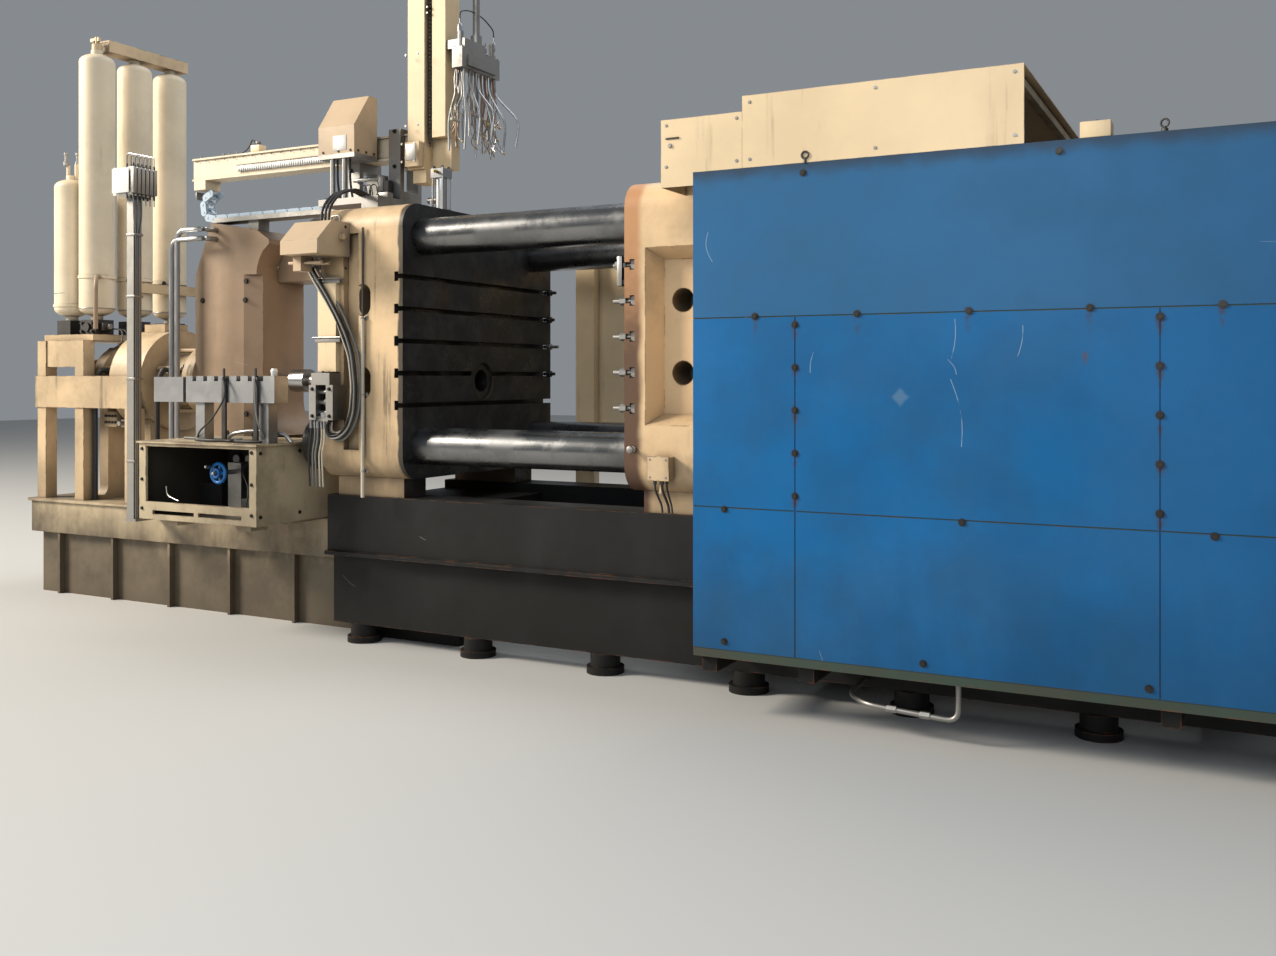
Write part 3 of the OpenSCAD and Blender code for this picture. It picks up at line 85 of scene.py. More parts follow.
# %% Camera
camera_data = bpy.data.cameras.new("camera")
camera_data.sensor_width = 36.0
camera_data.lens = 33.40
camera_data.shift_y = -0.0784
camera_data.clip_end = 100.0
camera = bpy.data.objects.new("camera", camera_data)
camera.location = (4.660, -6.672, 1.715)
camera.rotation_euler = (math.radians(90), 0, math.radians(27.5))
scene.collection.objects.link(camera)
scene.camera = camera
print("camera at", tuple(round(value, 3) for value in camera.location))

# %% [markdown]
# The hall in the photograph is lit by high windows on the left, and the operator's side is in
# half shadow. One large soft light from the left and above keeps that direction, a weaker one
# fills the front, and a pale world lifts the shadows, as in a plain studio.

# %% Light and floor
world = bpy.data.worlds.new("studio")
world.use_nodes = True
sky = world.node_tree.nodes["Background"].inputs
sky["Color"].default_value = (0.80, 0.86, 0.93, 1)
sky["Strength"].default_value = 0.30
scene.world = world
scene.view_settings.view_transform = "Standard"
scene.view_settings.look = "None"
scene.view_settings.exposure = 0.0


def area_light(name, place, target, size, power, colour):
    """A square soft light that looks at target."""
    data = bpy.data.lights.new(name, "AREA")
    data.size, data.energy, data.color = size, power, colour
    light = bpy.data.objects.new(name, data)
    light.location = place
    light.rotation_euler = (Vector(target) - Vector(place)).to_track_quat("-Z", "Y").to_euler()
    scene.collection.objects.link(light)


machine_middle = (0.5, 0, 1.8)
area_light("window_light", (-16.0, -10.5, 12.0), machine_middle, 6.0, 7000, (1.0, 0.91, 0.78))
area_light("front_fill", (3.5, -10.0, 5.5), (2.0, -1, 1.4), 5.0, 300, (0.88, 0.94, 1.0))
area_light("roof_light", (1.0, 3.5, 10.0), machine_middle, 7.0, 480, (0.95, 0.98, 1.0))
half = 40.0
floor_mesh = bpy.data.meshes.new("floor")
floor_corners = [(x, y, 0) for x, y in ((-half, -half), (half, -half), (half, half), (-half, half))]
floor_mesh.from_pydata(floor_corners, [], [(0, 1, 2, 3)])
floor = bpy.data.objects.new("floor", floor_mesh)
scene.collection.objects.link(floor)
floor_paint = bpy.data.materials.new("pale_floor")
floor_paint.use_nodes = True
floor_shader = floor_paint.node_tree.nodes["Principled BSDF"].inputs
floor_shader["Base Color"].default_value = (0.50, 0.50, 0.49, 1)
floor_shader["Roughness"].default_value = 0.75
floor_mesh.materials.append(floor_paint)
floor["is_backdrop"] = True


# %% [markdown]
# A look is a sum of masks, and in a node tree each plus or times is a node of its own. To
# keep such sums readable, a node's output is wrapped in a small class, so that a plain + or *
# between two outputs adds the math node and links it.

# %% Wires
class Wire:
    """A node's output; sums and comparisons of wires add the math nodes that work them out."""

    def __init__(self, socket):
        self.socket = socket
        self.tree = socket.id_data

    def clamped(self):
        """Keeps the result of the last sum between 0 and 1."""
        self.socket.node.use_clamp = True
        return self

    def absolute(self):
        return calc(self.tree, "ABSOLUTE", self)

    def least(self, other):
        return calc(self.tree, "MINIMUM", self, other)

    def most(self, other):
        return calc(self.tree, "MAXIMUM", self, other)

    def __add__(self, other):
        return calc(self.tree, "ADD", self, other)

    def __radd__(self, other):
        return calc(self.tree, "ADD", other, self)

    def __sub__(self, other):
        return calc(self.tree, "SUBTRACT", self, other)

    def __rsub__(self, other):
        return calc(self.tree, "SUBTRACT", other, self)

    def __mul__(self, other):
        return calc(self.tree, "MULTIPLY", self, other)

    def __truediv__(self, other):
        return calc(self.tree, "DIVIDE", self, other)

    def __lt__(self, other):
        return calc(self.tree, "LESS_THAN", self, other)

    def __gt__(self, other):
        return calc(self.tree, "GREATER_THAN", self, other)


print("a wire knows", ", ".join(name for name in vars(Wire) if not name.startswith("_")), "and plain sums")


# %% [markdown]
# The nodes that every look needs then get a short function each: a ramp turns a value into a
# mask, a mix blends two colours, a noise gives a pattern its chance, and a group holds an
# effect that many materials share.

# %% Helpers for node trees
def feed(socket, value):
    """Links a wire to a socket, or sets the socket to a plain value."""
    if isinstance(value, Wire):
        value.tree.links.new(value.socket, socket)
    else:
        socket.default_value = value


def node(tree, kind, inputs=(), output=0, **settings):
    """Adds a node, feeds its inputs by name or number, and returns one output as a wire."""
    made = tree.nodes.new(kind)
    for name, value in settings.items():
        setattr(made, name, value)
    for key, value in dict(inputs).items():
        feed(made.inputs[key], value)
    return Wire(made.outputs[output])


def calc(tree, operation, first, second=0.0):
    """The result of one sum on two values."""
    return node(tree, "ShaderNodeMath", {0: first, 1: second}, operation=operation)


def ramp(value, start, end):
    """Turns a value into a mask that is 0 below start and 1 above end."""
    return node(value.tree, "ShaderNodeMapRange", {"Value": value, "From Min": start, "From Max": end},
                "Result", interpolation_type="SMOOTHSTEP")


def mix(factor, first, second):
    """A blend of two colours by a factor."""
    return node(factor.tree, "ShaderNodeMix", {0: factor, 6: first, 7: second}, 2, data_type="RGBA")


def noise(place, scale, detail=4.0, roughness=0.55):
    """The value of a noise texture at a place."""
    return node(place.tree, "ShaderNodeTexNoise",
                {"Vector": place, "Scale": scale, "Detail": detail, "Roughness": roughness}, "Fac")


def stretched(place, scale, shift=(0, 0, 0)):
    """The same place with its three axes scaled, to draw a pattern out into streaks."""
    return node(place.tree, "ShaderNodeMapping", {"Vector": place, "Location": shift, "Scale": scale})


def object_place(tree):
    """The shaded point in the machine's own frame."""
    return node(tree, "ShaderNodeTexCoord", output="Object")


def surface_normal(tree):
    """The direction that the surface faces."""
    return node(tree, "ShaderNodeNewGeometry", output="Normal")


def part_of(vector, axis):
    """One of a vector's three numbers."""
    return node(vector.tree, "ShaderNodeSeparateXYZ", {"Vector": vector}, axis)


def new_group(name, **inputs):
    """A shader group with named numbers as inputs; returns its tree and its input wires."""
    group = bpy.data.node_groups.new(name, "ShaderNodeTree")
    for label, value in inputs.items():
        label = label.replace("_", " ")
        socket = group.interface.new_socket(label, in_out="INPUT", socket_type="NodeSocketFloat")
        socket.default_value = value
    group.interface.new_socket("Mask", in_out="OUTPUT", socket_type="NodeSocketFloat")
    given = group.nodes.new("NodeGroupInput").outputs
    return group, [Wire(socket) for socket in given if socket.name]


def put_out(group, mask):
    """Ends a group with its mask."""
    feed(group.nodes.new("NodeGroupOutput").inputs["Mask"], mask)
    print(group.name, "is a group of", len(group.nodes), "nodes")


print("node helpers:", ", ".join(helper.__name__ for helper in (node, calc, ramp, mix, noise, new_group)))

# %% [markdown]
# Paint on a foundry machine ages in the same few ways everywhere: it chips along edges, grime
# settles in corners, oil runs down in streaks, and scratches cross the open faces. The corners
# are darkened further as painted shade. Each is one shader group with named inputs, which every
# paint then uses at its own strength. Edge wear comes first. It compares the true surface
# direction with one that is rounded off over a short distance. They only differ beside an edge,
# so the difference is a mask of the edges, which a noise then breaks into chips.

# %% Shader group: chipped edges
edge_group, (width, chip_scale, amount) = new_group("chipped_edges", Width=0.012, Chip_Scale=9.0, Amount=1.0)
place = object_place(edge_group)
rounded = node(edge_group, "ShaderNodeBevel", {"Radius": width}, samples=4)
facing = node(edge_group, "ShaderNodeVectorMath", {0: rounded, 1: surface_normal(edge_group)}, "Value",
              operation="DOT_PRODUCT")
edge_line = ramp(1.0 - facing, 0.02, 0.16)
chips = ramp(noise(place, chip_scale, 7.0, 0.62), 0.46, 0.56)
put_out(edge_group, (edge_line * chips * amount).clamped())

# %% [markdown]
# The corners that ambient occlusion finds are darkened, as grime and as painted shade. Oil
# streaks are a noise drawn out down the walls, and a slow noise makes both come and go over the
# machine.

# %% Shader group: grime and painted shade in corners, and oil streaks
grime_group, (corner_reach, streakiness, patchiness) = new_group(
    "grime", Corner_Reach=0.25, Streaks=0.5, Patches=0.4)
place = object_place(grime_group)
open_air = node(grime_group, "ShaderNodeAmbientOcclusion", {"Distance": corner_reach}, "AO", samples=4)
# painted shade: corners that ambient occlusion finds get the strongest mask, besides real grime
corners = ramp((1.0 - open_air) + noise(place, 5.0, 6.0) * 0.35, 0.38, 0.95)
runs = ramp(noise(stretched(place, (9.0, 9.0, 0.55)), 1.6, 5.0, 0.6), 0.52, 0.72) * streakiness
slow = ramp(noise(place, 1.3, 6.0, 0.65), 0.40, 0.66)
put_out(grime_group, corners.most((runs * slow).most(slow * patchiness)).clamped())

# %% [markdown]
# Dust lies on what faces up, and splashed oil and coolant darken everything near the floor or
# near the bed, with a ragged upper edge. Where this darkening is strong, as on the shot bed, it
# is painted shadow. Both are masks by direction or height.

# %% Shader groups: dust, and splash with painted shadow low down
dust_group, (amount,) = new_group("dust", Amount=0.4)
upward = ramp(part_of(surface_normal(dust_group), "Z"), 0.55, 0.95)
settled = ramp(noise(object_place(dust_group), 4.0, 6.0, 0.6), 0.30, 0.70)
put_out(dust_group, (upward * settled * amount).clamped())

# painted shadow where strong: darkens all below a ragged height
splash_group, (bottom, top, amount) = new_group("splash", Low=0.2, High=0.8, Amount=0.5)
place = object_place(splash_group)
ragged = noise(stretched(place, (3.0, 3.0, 0.8)), 1.7, 7.0, 0.62)
span = top - bottom
ragged_height = part_of(place, "Z") + (ragged - 0.5) * (span * 1.6)
put_out(splash_group, (((top - ragged_height) / span).clamped() * amount).clamped())

# %% [markdown]
# A scratch is a thin wandering line. A noise is at its middle value only along such lines. How
# far that line lies from a point is the noise's offset from its middle over its slope, which
# keeps every scratch equally thin. A second noise breaks the lines up.

# %% Shader group: scratches
scratch_group, (scale, fineness, share) = new_group("scratches", Scale=1.4, Fineness=0.35, Share=0.5)
place = object_place(scratch_group)
slope_step = 0.003
lines = []
for shift, stretch in ((0.0, (1.0, 1.0, 0.35)), (7.3, (0.5, 0.5, 1.6))):
    values = []
    for offset in ((0, 0, 0), (slope_step, 0, 0), (0, 0, slope_step)):
        moved = node(scratch_group, "ShaderNodeVectorMath", {0: place, 1: offset})
        values.append(noise(stretched(moved, stretch, (shift, shift, shift)), scale, 1.2, 0.4))
    here, beside, above = values
    slope = (beside - here).absolute() + (above - here).absolute()
    lines.append((here - 0.5).absolute() / slope.most(0.0002) < fineness)
kept = noise(place, 2.1, 2.0) + share > 1.05
put_out(scratch_group, lines[0].most(lines[1]) * kept)


# %% [markdown]
# Worn paint puts the groups together. The coat has a slow change of tone and an orange peel,
# chips show rust, grime and splashes darken it along with painted shade in corners and low down,
# and dust and scratches are pale.

# %% Worn paint
def use_group(tree, group, **values):
    """Places a shared group in a material with its own values and returns its mask."""
    made = tree.nodes.new("ShaderNodeGroup")
    made.node_tree = group
    for name, value in values.items():
        made.inputs[name.replace("_", " ")].default_value = value
    return Wire(made.outputs["Mask"])


def new_material(name):
    """A material, its node tree and the inputs of its shader."""
    material = bpy.data.materials.new(name)
    material.use_nodes = True
    return material, material.node_tree, material.node_tree.nodes["Principled BSDF"].inputs


def finish_surface(tree, shader, colour, roughness, height, strength, distance):
    """Feeds a shader its colour, its roughness and a bump from a height."""
    feed(shader["Base Color"], colour)
    feed(shader["Roughness"], roughness)
    feed(shader["Normal"], node(tree, "ShaderNodeBump", {
        "Strength": strength, "Distance": distance, "Height": height}, "Normal"))


def worn_paint(name, colour, dirt_and_painted_shade=(0.055, 0.042, 0.028, 1), gloss=0.42, edges=1.0, edge_width=0.012,
               reach=0.25, streaks=0.5, patches=0.35, scratches=0.35, scratch_scale=1.4,
               splash=(0.1, 0.9, 0.5), dust=0.4, shine=0.4, extra=None):
    """A painted metal with chipped edges, dirty corners and low parts darkened further as painted shade,
    streaks, splashes, dust and scratches.
    """
    material, tree, shader = new_material(name)
    place = object_place(tree)
    chipped = use_group(tree, edge_group, Width=edge_width, Chip_Scale=9.0, Amount=edges)
    grime = use_group(tree, grime_group, Corner_Reach=reach, Streaks=streaks, Patches=patches)
    scratched = use_group(tree, scratch_group, Scale=scratch_scale, Share=scratches)
    wetted_and_painted_shadow = use_group(tree, splash_group, Low=splash[0], High=splash[1], Amount=splash[2])
    dusty = use_group(tree, dust_group, Amount=dust)
    faded = tuple(min(1.0, 1.18 * c + 0.02) for c in colour[:3]) + (1,)
    coat = mix(ramp(noise(place, 0.9, 5.0), 0.35, 0.7) * 0.5, colour, faded)
    coat = mix(scratched * 0.4, coat, (0.75, 0.75, 0.72, 1))
    coat = mix(dusty, coat, (0.22, 0.19, 0.15, 1))
    # painted shade: the corner mask darkens the coat towards the dirt colour
    coat = mix(grime * 0.82, coat, dirt_and_painted_shade)
    # painted shadow on the shot bed, splash elsewhere: darkens the coat low down
    coat = mix(wetted_and_painted_shadow * 0.85, coat, dirt_and_painted_shade)
    bare = mix(ramp(noise(place, 30.0, 3.0), 0.4, 0.65), (0.16, 0.055, 0.02, 1), (0.05, 0.045, 0.04, 1))
    coat = mix(chipped, coat, bare)
    roughness = (gloss + grime * 0.25 + chipped * 0.3).clamped()
    if extra:
        coat, roughness = extra(tree, place, coat, roughness)
    shader["Specular IOR Level"].default_value = shine
    finish_surface(tree, shader, coat, roughness, noise(place, 260.0, 2.0) * 0.12 - chipped, 0.25, 0.002)
    return material


groups = (edge_group, grime_group, splash_group, dust_group, scratch_group)
print("worn paint joins the groups", ", ".join(group.name for group in groups))

# %% [markdown]
# The die faces are black with burnt release agent, while the platens' sides are cream. Where
# a face looks along the machine and lies near the die plane, the paint gives way to that
# black, and the rim beside it is stained: near black on the fixed platen, rust on the other.


# %% Platen stains
def die_side_stain(face_x, towards, rim_colour, rim_dark, rim_reach):
    """Returns a finisher that blackens a platen's die face and stains the rim beside it."""

    def finish_paint(tree, place, coat, roughness):
        depth = (face_x - part_of(place, "X")) * towards
        ragged_depth = depth + (noise(place, 5.0, 3.0) - 0.5) * 0.05
        rim = ramp(ragged_depth * -1.0, -1.2 * rim_reach, -0.7 * rim_reach)
        lower = ramp((part_of(place, "Z") + noise(place, 3.0, 6.0, 0.65) * 0.9) * -1.0, -2.85, -2.15)
        coat = mix(rim * 0.92, coat, mix(lower, rim_colour, rim_dark))
        looks = ramp(part_of(surface_normal(tree), "X") * towards, 0.3, 0.6)
        face = looks * ramp(depth * -1.0, -0.12, -0.08)
        soot = mix(ramp(noise(place, 6.0, 7.0, 0.7), 0.4, 0.7),
                   (0.012, 0.012, 0.013, 1), (0.035, 0.034, 0.033, 1))
        greasy = 0.22 + ramp(noise(place, 2.3, 5.0), 0.4, 0.6) * 0.4
        return mix(face, coat, soot), node(tree, "ShaderNodeMix", {0: face, 2: roughness, 3: greasy},
                                           data_type="FLOAT")

    return finish_paint


print("platens span", round(low("fixed_platen")[0], 3), "to", round(high("moving_platen")[0], 3), "m in X")

# %% [markdown]
# The guards carry marks in known places, and each is a distance in the panel's plane, so it
# stays in its place. A rust run is round above a bolt and drawn out below it, as water carries
# it. A long scratch is a thin line with a slight bow.

# %% Shapes of marks
def nearest_of_row(value, start, pitch, count):
    """The distance along one axis to the nearest of count evenly spaced marks."""
    steps = (value - start) / pitch
    nearest = calc(value.tree, "ROUND", steps).most(0.0).least(count - 1.0)
    return (steps - nearest) * pitch


def rust_run(across, above, reach, run):
    """A spot of rust that is round above its centre and runs down below it."""
    below = above.least(0.0) * (reach / run)
    narrowed = across * (1.0 + below * (-0.9 / reach))
    upper = above.most(0.0)
    distance = calc(across.tree, "SQRT", narrowed * narrowed + below * below + upper * upper)
    return ramp(distance * -1.0, -reach, -0.25 * reach)


def pale_line(x, z, start, end, bow, half_width=0.0013):
    """A thin bowed line between two places on the panel."""
    along = (z - start[1]) / (end[1] - start[1])
    bend = calc(z.tree, "SINE", along * math.pi) * bow
    line_x = start[0] + bend + along * (end[0] - start[0])
    return ((x - line_x).absolute() < half_width) * ((along - 0.5).absolute() < 0.5)


def darkest(masks):
    """The greatest of several masks."""
    result = masks[0]
    for mask in masks[1:]:
        result = result.most(mask)
    return result


print("shapes of marks:", ", ".join(shape.__name__ for shape in (nearest_of_row, rust_run, pale_line)))

# %% [markdown]
# The marks go on the paint one after the other: greyer upper panels, slow clouds, a darker
# right end that is painted shade, soot along the top edge, rust that ran from each bolt, a few
# long pale scratches, and a smudge and a rust spot on the middle panel. The bolts' places are
# shared with the step that sets the bolts, and the scratches and the smudge are on the near side only.

# %% Marks and painted shade on the guards
guard_height = high("guard_panels_front")[2]
seam_x = (2.674, 4.306)
column_pitch = 0.209
bolt_row_x, bolt_row_z = 2.465, 2.02
scratch_ends = (  # start and end in x and z, and the bow
    ((3.445, 1.985), (3.428, 1.80), 0.010), ((3.425, 1.71), (3.475, 1.40), 0.022),
    ((3.412, 1.80), (3.452, 1.73), 0.010), ((3.745, 1.95), (3.722, 1.81), 0.008),
    ((2.768, 1.84), (2.752, 1.74), -0.006), ((2.21, 2.45), (2.235, 2.30), -0.022))


def guard_marks_and_painted_shade(tree, place, coat, roughness):
    """Puts the marks of the guard panels, and painted shade at their right end, on the paint."""
    x, y, z = (part_of(place, axis) for axis in "XYZ")
    front = y < 0.0
    coat = mix((z > bolt_row_z) * 0.45, coat, (0.045, 0.125, 0.215, 1))
    coat = mix(ramp(noise(place, 1.1, 6.0, 0.62), 0.42, 0.68) * 0.28, coat, (0.030, 0.085, 0.150, 1))
    # painted shade: the blue turns darker towards the right end, where less light falls
    coat = mix(ramp(x, 3.3, 5.1) * 0.45, coat, (0.012, 0.080, 0.200, 1))
    soot = ramp(z + noise(place, 9.0, 5.0) * 0.07, guard_height - 0.05, guard_height + 0.04)
    coat = mix(soot * 0.7, coat, (0.030, 0.032, 0.034, 1))
    rows = [(nearest_of_row(x, bolt_row_x, 0.52, 5), z - bolt_row_z)]
    rows += [(x - seam, nearest_of_row(z, 1.139, column_pitch, 5)) for seam in seam_x]
    rust = darkest([rust_run(across, above, 0.030, 0.13) for across, above in rows])
    rust = rust * ramp(noise(place, 24.0, 4.0), 0.35, 0.62)
    coat = mix(rust * 0.65, coat, (0.060, 0.030, 0.018, 1))
    scratches = darkest([pale_line(x, z, *ends) for ends in scratch_ends])
    scratches = scratches * ramp(noise(place, 14.0, 3.0), 0.30, 0.50) * front
    coat = mix(scratches * 0.5, coat, (0.55, 0.62, 0.64, 1))
    smudge = (x - 3.192).absolute() + (z - 1.626).absolute()
    smudge = ramp(smudge * -1.0 + noise(place, 30.0, 3.0) * 0.02, -0.045, -0.015) * front
    coat = mix(smudge * 0.25, coat, (0.25, 0.36, 0.42, 1))
    spot = rust_run(x - 4.006, z - 1.815, 0.022, 0.06)
    return mix(spot * 0.5, coat, (0.10, 0.055, 0.03, 1)), roughness


print("guards reach", round(guard_height, 3), "m up and have", len(scratch_ends), "long scratches")


# %% [markdown]
# The cabinet's inside is painted near black as painted shade. It is the same sheet as the cream
# outside, so a mask of all that lies within its walls darkens it, and no second mesh is needed.

# %% Painted shade inside the cabinet
def dark_within(low_corner, high_corner, colour):
    """Returns a finisher that gives a colour to all that lies inside a box."""

    def finish_paint(tree, place, coat, roughness):
        sides = [(part_of(place, axis) - (least + most) / 2).absolute() < (most - least) / 2
                 for axis, least, most in zip("XYZ", low_corner, high_corner)]
        return mix(sides[0] * sides[1] * sides[2] * 0.93, coat, colour), roughness

    return finish_paint


dark_low = low("valve_cabinet") + Vector((0.034, 0.034, 0.064))
dark_high = high("valve_cabinet") - Vector((0.034, 0.018, 0.032))
# painted shade: all inside the cabinet's walls turns near black
cabinet_painted_shade = dark_within(dark_low, dark_high, (0.020, 0.018, 0.016, 1))
print("the cabinet is dark inside over", [round(size, 3) for size in dark_high - dark_low], "m")

# %% [markdown]
# The colours are read from the photograph, mostly where it is lit. Cream is warm and yellows
# with heat and oil, so the castings by the dies are darker than the sheet covers. The C-frame and
# the motor covers are tan, darkened further as painted shade of their shaded sides.

# %% The paints
cream = (0.70, 0.50, 0.29, 1)
fixed_rim, fixed_rim_dark = (0.03, 0.024, 0.018, 1), (0.012, 0.012, 0.012, 1)
moving_rim, moving_rim_dark = (0.46, 0.225, 0.10, 1), (0.065, 0.025, 0.015, 1)
moving_face_x = high("moving_platen")[0] - 0.56
finishes = {
    "cream_platen_fixed": worn_paint(
        "cream_platen_fixed", cream, streaks=1.3, patches=0.45, splash=(1.0, 1.55, 0.75),
        extra=die_side_stain(0.0, 1.0, fixed_rim, fixed_rim_dark, 0.035)),
    "cream_platen_moving": worn_paint(
        "cream_platen_moving", cream, streaks=1.3, patches=0.45, splash=(1.0, 1.35, 0.6),
        extra=die_side_stain(moving_face_x, -1.0, moving_rim, moving_rim_dark, 0.105)),
}
paints = {
    "cream_paint": dict(colour=(0.62, 0.46, 0.28, 1), streaks=1.0, patches=0.5, splash=(0.6, 1.3, 0.5)),
    "cream_cover": dict(colour=(0.76, 0.59, 0.37, 1), edges=0.6, edge_width=0.006, streaks=0.45, patches=0.14,
                        reach=0.1, scratches=0.1, splash=(0.5, 1.2, 0.5)),
    # painted shadow: the strong darkening below 0.8 m stands for the shade on the shot bed's lower part
    "cream_greasy_with_painted_shadow": dict(colour=(0.46, 0.37, 0.24, 1), streaks=1.0, patches=0.9, reach=0.4,
                         splash=(0.42, 0.80, 0.95), dust=0.7),
    "cream_cabinet": dict(colour=(0.50, 0.41, 0.27, 1), streaks=0.9, patches=0.6, reach=0.12,
                          splash=(0.3, 1.1, 0.6), dust=0.9, extra=cabinet_painted_shade),
    "cream_bottle": dict(colour=(0.74, 0.63, 0.46, 1), edges=0.4, streaks=0.6, patches=0.2, reach=0.12,
                         scratches=0.1),
    # painted shade: the C-frame's tan is darkened to its colour in the shadow of the motor cover
    "tan_paint": dict(colour=(0.32, 0.22, 0.14, 1), streaks=0.7, patches=0.4, splash=(0.7, 1.6, 0.6)),
    # painted shade: the motor covers are darker than the cream covers, for their shaded sides
    "motor_cover_paint_with_painted_shade": dict(colour=(0.50, 0.375, 0.245, 1), streaks=0.6, patches=0.3, edge_width=0.006,
                              splash=(0.7, 1.6, 0.4)),
    "blue_paint": dict(colour=(0.001, 0.118, 0.325, 1), dirt_and_painted_shade=(0.006, 0.026, 0.055, 1), gloss=0.46, edges=0.7,
                       edge_width=0.004, streaks=0.35, patches=0.30, reach=0.1, scratches=0.37,
                       scratch_scale=0.8, splash=(0.3, 0.9, 0.5), shine=0.22, extra=guard_marks_and_painted_shade),
    "green_paint": dict(colour=(0.018, 0.070, 0.052, 1), streaks=0.4, patches=0.6, splash=(0.3, 0.7, 0.6)),
    "dark_paint": dict(colour=(0.013, 0.0135, 0.014, 1), dirt_and_painted_shade=(0.008, 0.007, 0.006, 1), streaks=0.8,
                       patches=0.7, edges=0.8, dust=0.12, shine=0.2, splash=(0.1, 1.1, 0.8)),
    "white_paint": dict(colour=(0.80, 0.79, 0.75, 1), edges=0.3, patches=0.2, reach=0.08),
    "wheel_blue": dict(colour=(0.010, 0.14, 0.42, 1), edges=0.4, edge_width=0.003, reach=0.03, patches=0.2,
                       streaks=0.2, gloss=0.25, splash=(0.2, 0.5, 0.0), dust=0.0),
}
finishes.update((name, worn_paint(name, **look)) for name, look in paints.items())
print(len(finishes), "paints")


# %% [markdown]
# Bare metals are next. Tie bars and rods are ground bright and then darken with oil, so they
# keep a low roughness with rings and streaks in it. Aluminium and mild steel are duller and
# carry blotches and fine brushing. Rubber and plastic are made the same way, without metal.

# %% Bare metals
even, fine, finer = (8.0, 8.0, 8.0), (20.0, 20.0, 20.0), (30.0, 30.0, 30.0)


def bare_metal(name, colour, roughness=0.32, brush=(1.0, 40.0, 40.0), blotch=0.35,
               stain_and_painted_shade=(0.03, 0.025, 0.02, 1), stain_and_painted_shade_amount=0.4, metallic=1.0):
    """A metal with brushing along one direction, oily blotches, and stains and painted shade in its corners.
    """
    material, tree, shader = new_material(name)
    shader["Metallic"].default_value = metallic
    place = object_place(tree)
    brushed = noise(stretched(place, brush), 9.0, 4.0)
    blotches = ramp(noise(place, 3.2, 6.0, 0.65), 0.42, 0.7)
    grime = use_group(tree, grime_group, Corner_Reach=0.12, Streaks=0.3, Patches=0.35)
    darker = tuple(0.55 * c for c in colour) + (1,)
    # painted shade: corners found by ambient occlusion darken the metal towards the stain colour
    shade = mix(grime * stain_and_painted_shade_amount, mix(blotches * blotch, colour + (1,), darker), stain_and_painted_shade)
    dull = (roughness + blotches * 0.22 + brushed * 0.12).clamped()
    finish_surface(tree, shader, shade, dull, brushed, 0.15, 0.001)
    return material


metals = {
    "tie_bar_steel": ((0.24, 0.245, 0.25), 0.17, (0.6, 30.0, 30.0), 0.6, (0.03, 0.025, 0.02, 1), 0.7),
    "bright_steel": ((0.42, 0.425, 0.43), 0.24),
    "grey_steel": ((0.38, 0.37, 0.35), 0.38, even, 0.5),
    "dark_steel": ((0.10, 0.098, 0.095), 0.38, even, 0.6),
    "aluminium": ((0.40, 0.405, 0.41), 0.34, (1.0, 25.0, 25.0), 0.4),
    "blued_bolt": ((0.06, 0.058, 0.056), 0.35, fine, 0.3),
    "copper": ((0.45, 0.24, 0.14), 0.35, fine, 0.5),
    "brass": ((0.50, 0.38, 0.16), 0.35, fine, 0.5),
}
soft_finishes = {
    "chain_plastic": ((0.42, 0.52, 0.62), 0.5, even, 0.12, (0.03, 0.025, 0.02, 1), 0.15),
    "grey_hose": ((0.20, 0.20, 0.19), 0.45, finer, 0.4),
    "cream_hose": ((0.55, 0.50, 0.40), 0.42, finer, 0.4),
    "rubber": ((0.022, 0.022, 0.023), 0.48, finer, 0.4, (0.06, 0.05, 0.04, 1)),
}
finishes.update((name, bare_metal(name, *look)) for name, look in metals.items())
finishes.update((name, bare_metal(name, *look, metallic=0.0)) for name, look in soft_finishes.items())
print(len(metals), "metals and", len(soft_finishes), "hose and plastic finishes")

# %% [markdown]
# Every node of the frame then gets its finish. The list is by finish, because on the real
# machine one can of paint does many parts.

# %% Finish the nodes
nodes_by_finish = {
    "cream_platen_fixed": "fixed_platen",
    "cream_platen_moving": "moving_platen",
    "cream_paint": "link_housing accumulator_straps accumulator_stand junction_box shot_cylinder shot_stand",
    "cream_cover": "small_top_cover large_top_cover spray_mast rear_screen cable_duct",
    "cream_greasy_with_painted_shadow": "shot_bed",
    "cream_cabinet": "valve_cabinet",
    "cream_bottle": "accumulators_tall accumulator_short spray_beam",
    "tan_paint": "c_frame",
    "motor_cover_paint_with_painted_shade": "upper_motor_cover lower_motor_cover",
    "blue_paint": "guard_panels_front guard_panels_rear clamp_cylinder",
    "green_paint": "guard_rails",
    "dark_paint": "bed_rail_front bed_rail_rear bed_crossbeams guard_outriggers guard_posts",
    "white_paint": "lube_distributor",
    "wheel_blue": "handwheel",
    "tie_bar_steel": "tie_bars",
    "bright_steel": "plunger_rod clamp_ram shot_pipes core_cylinder",
    "grey_steel": "valve_unit wheel_bracket spray_head lube_post spray_guide die_clamps",
    "dark_steel": "shot_sleeve accumulator_manifold tie_bar_nuts",
    "aluminium": "ladle_rail spray_tubes",
    "chain_plastic": "cable_chain",
    "rubber": "platen_hoses",
}
unfinished = set(node_objects)
for finish, names in nodes_by_finish.items():
    for name in names.split():
        for slot in node_objects[name].material_slots:
            slot.material = finishes[finish]
        unfinished.discard(name)
print("nodes without a finish:", sorted(unfinished))

# %% [markdown]
# The small parts that the solids leave out are built next, as closed shapes in the machine's
# own frame. Round things are rows of rings: circles of points for a turned part, and rings
# carried along a path for a pipe. A path's corners are rounded off first, as in a bent pipe.

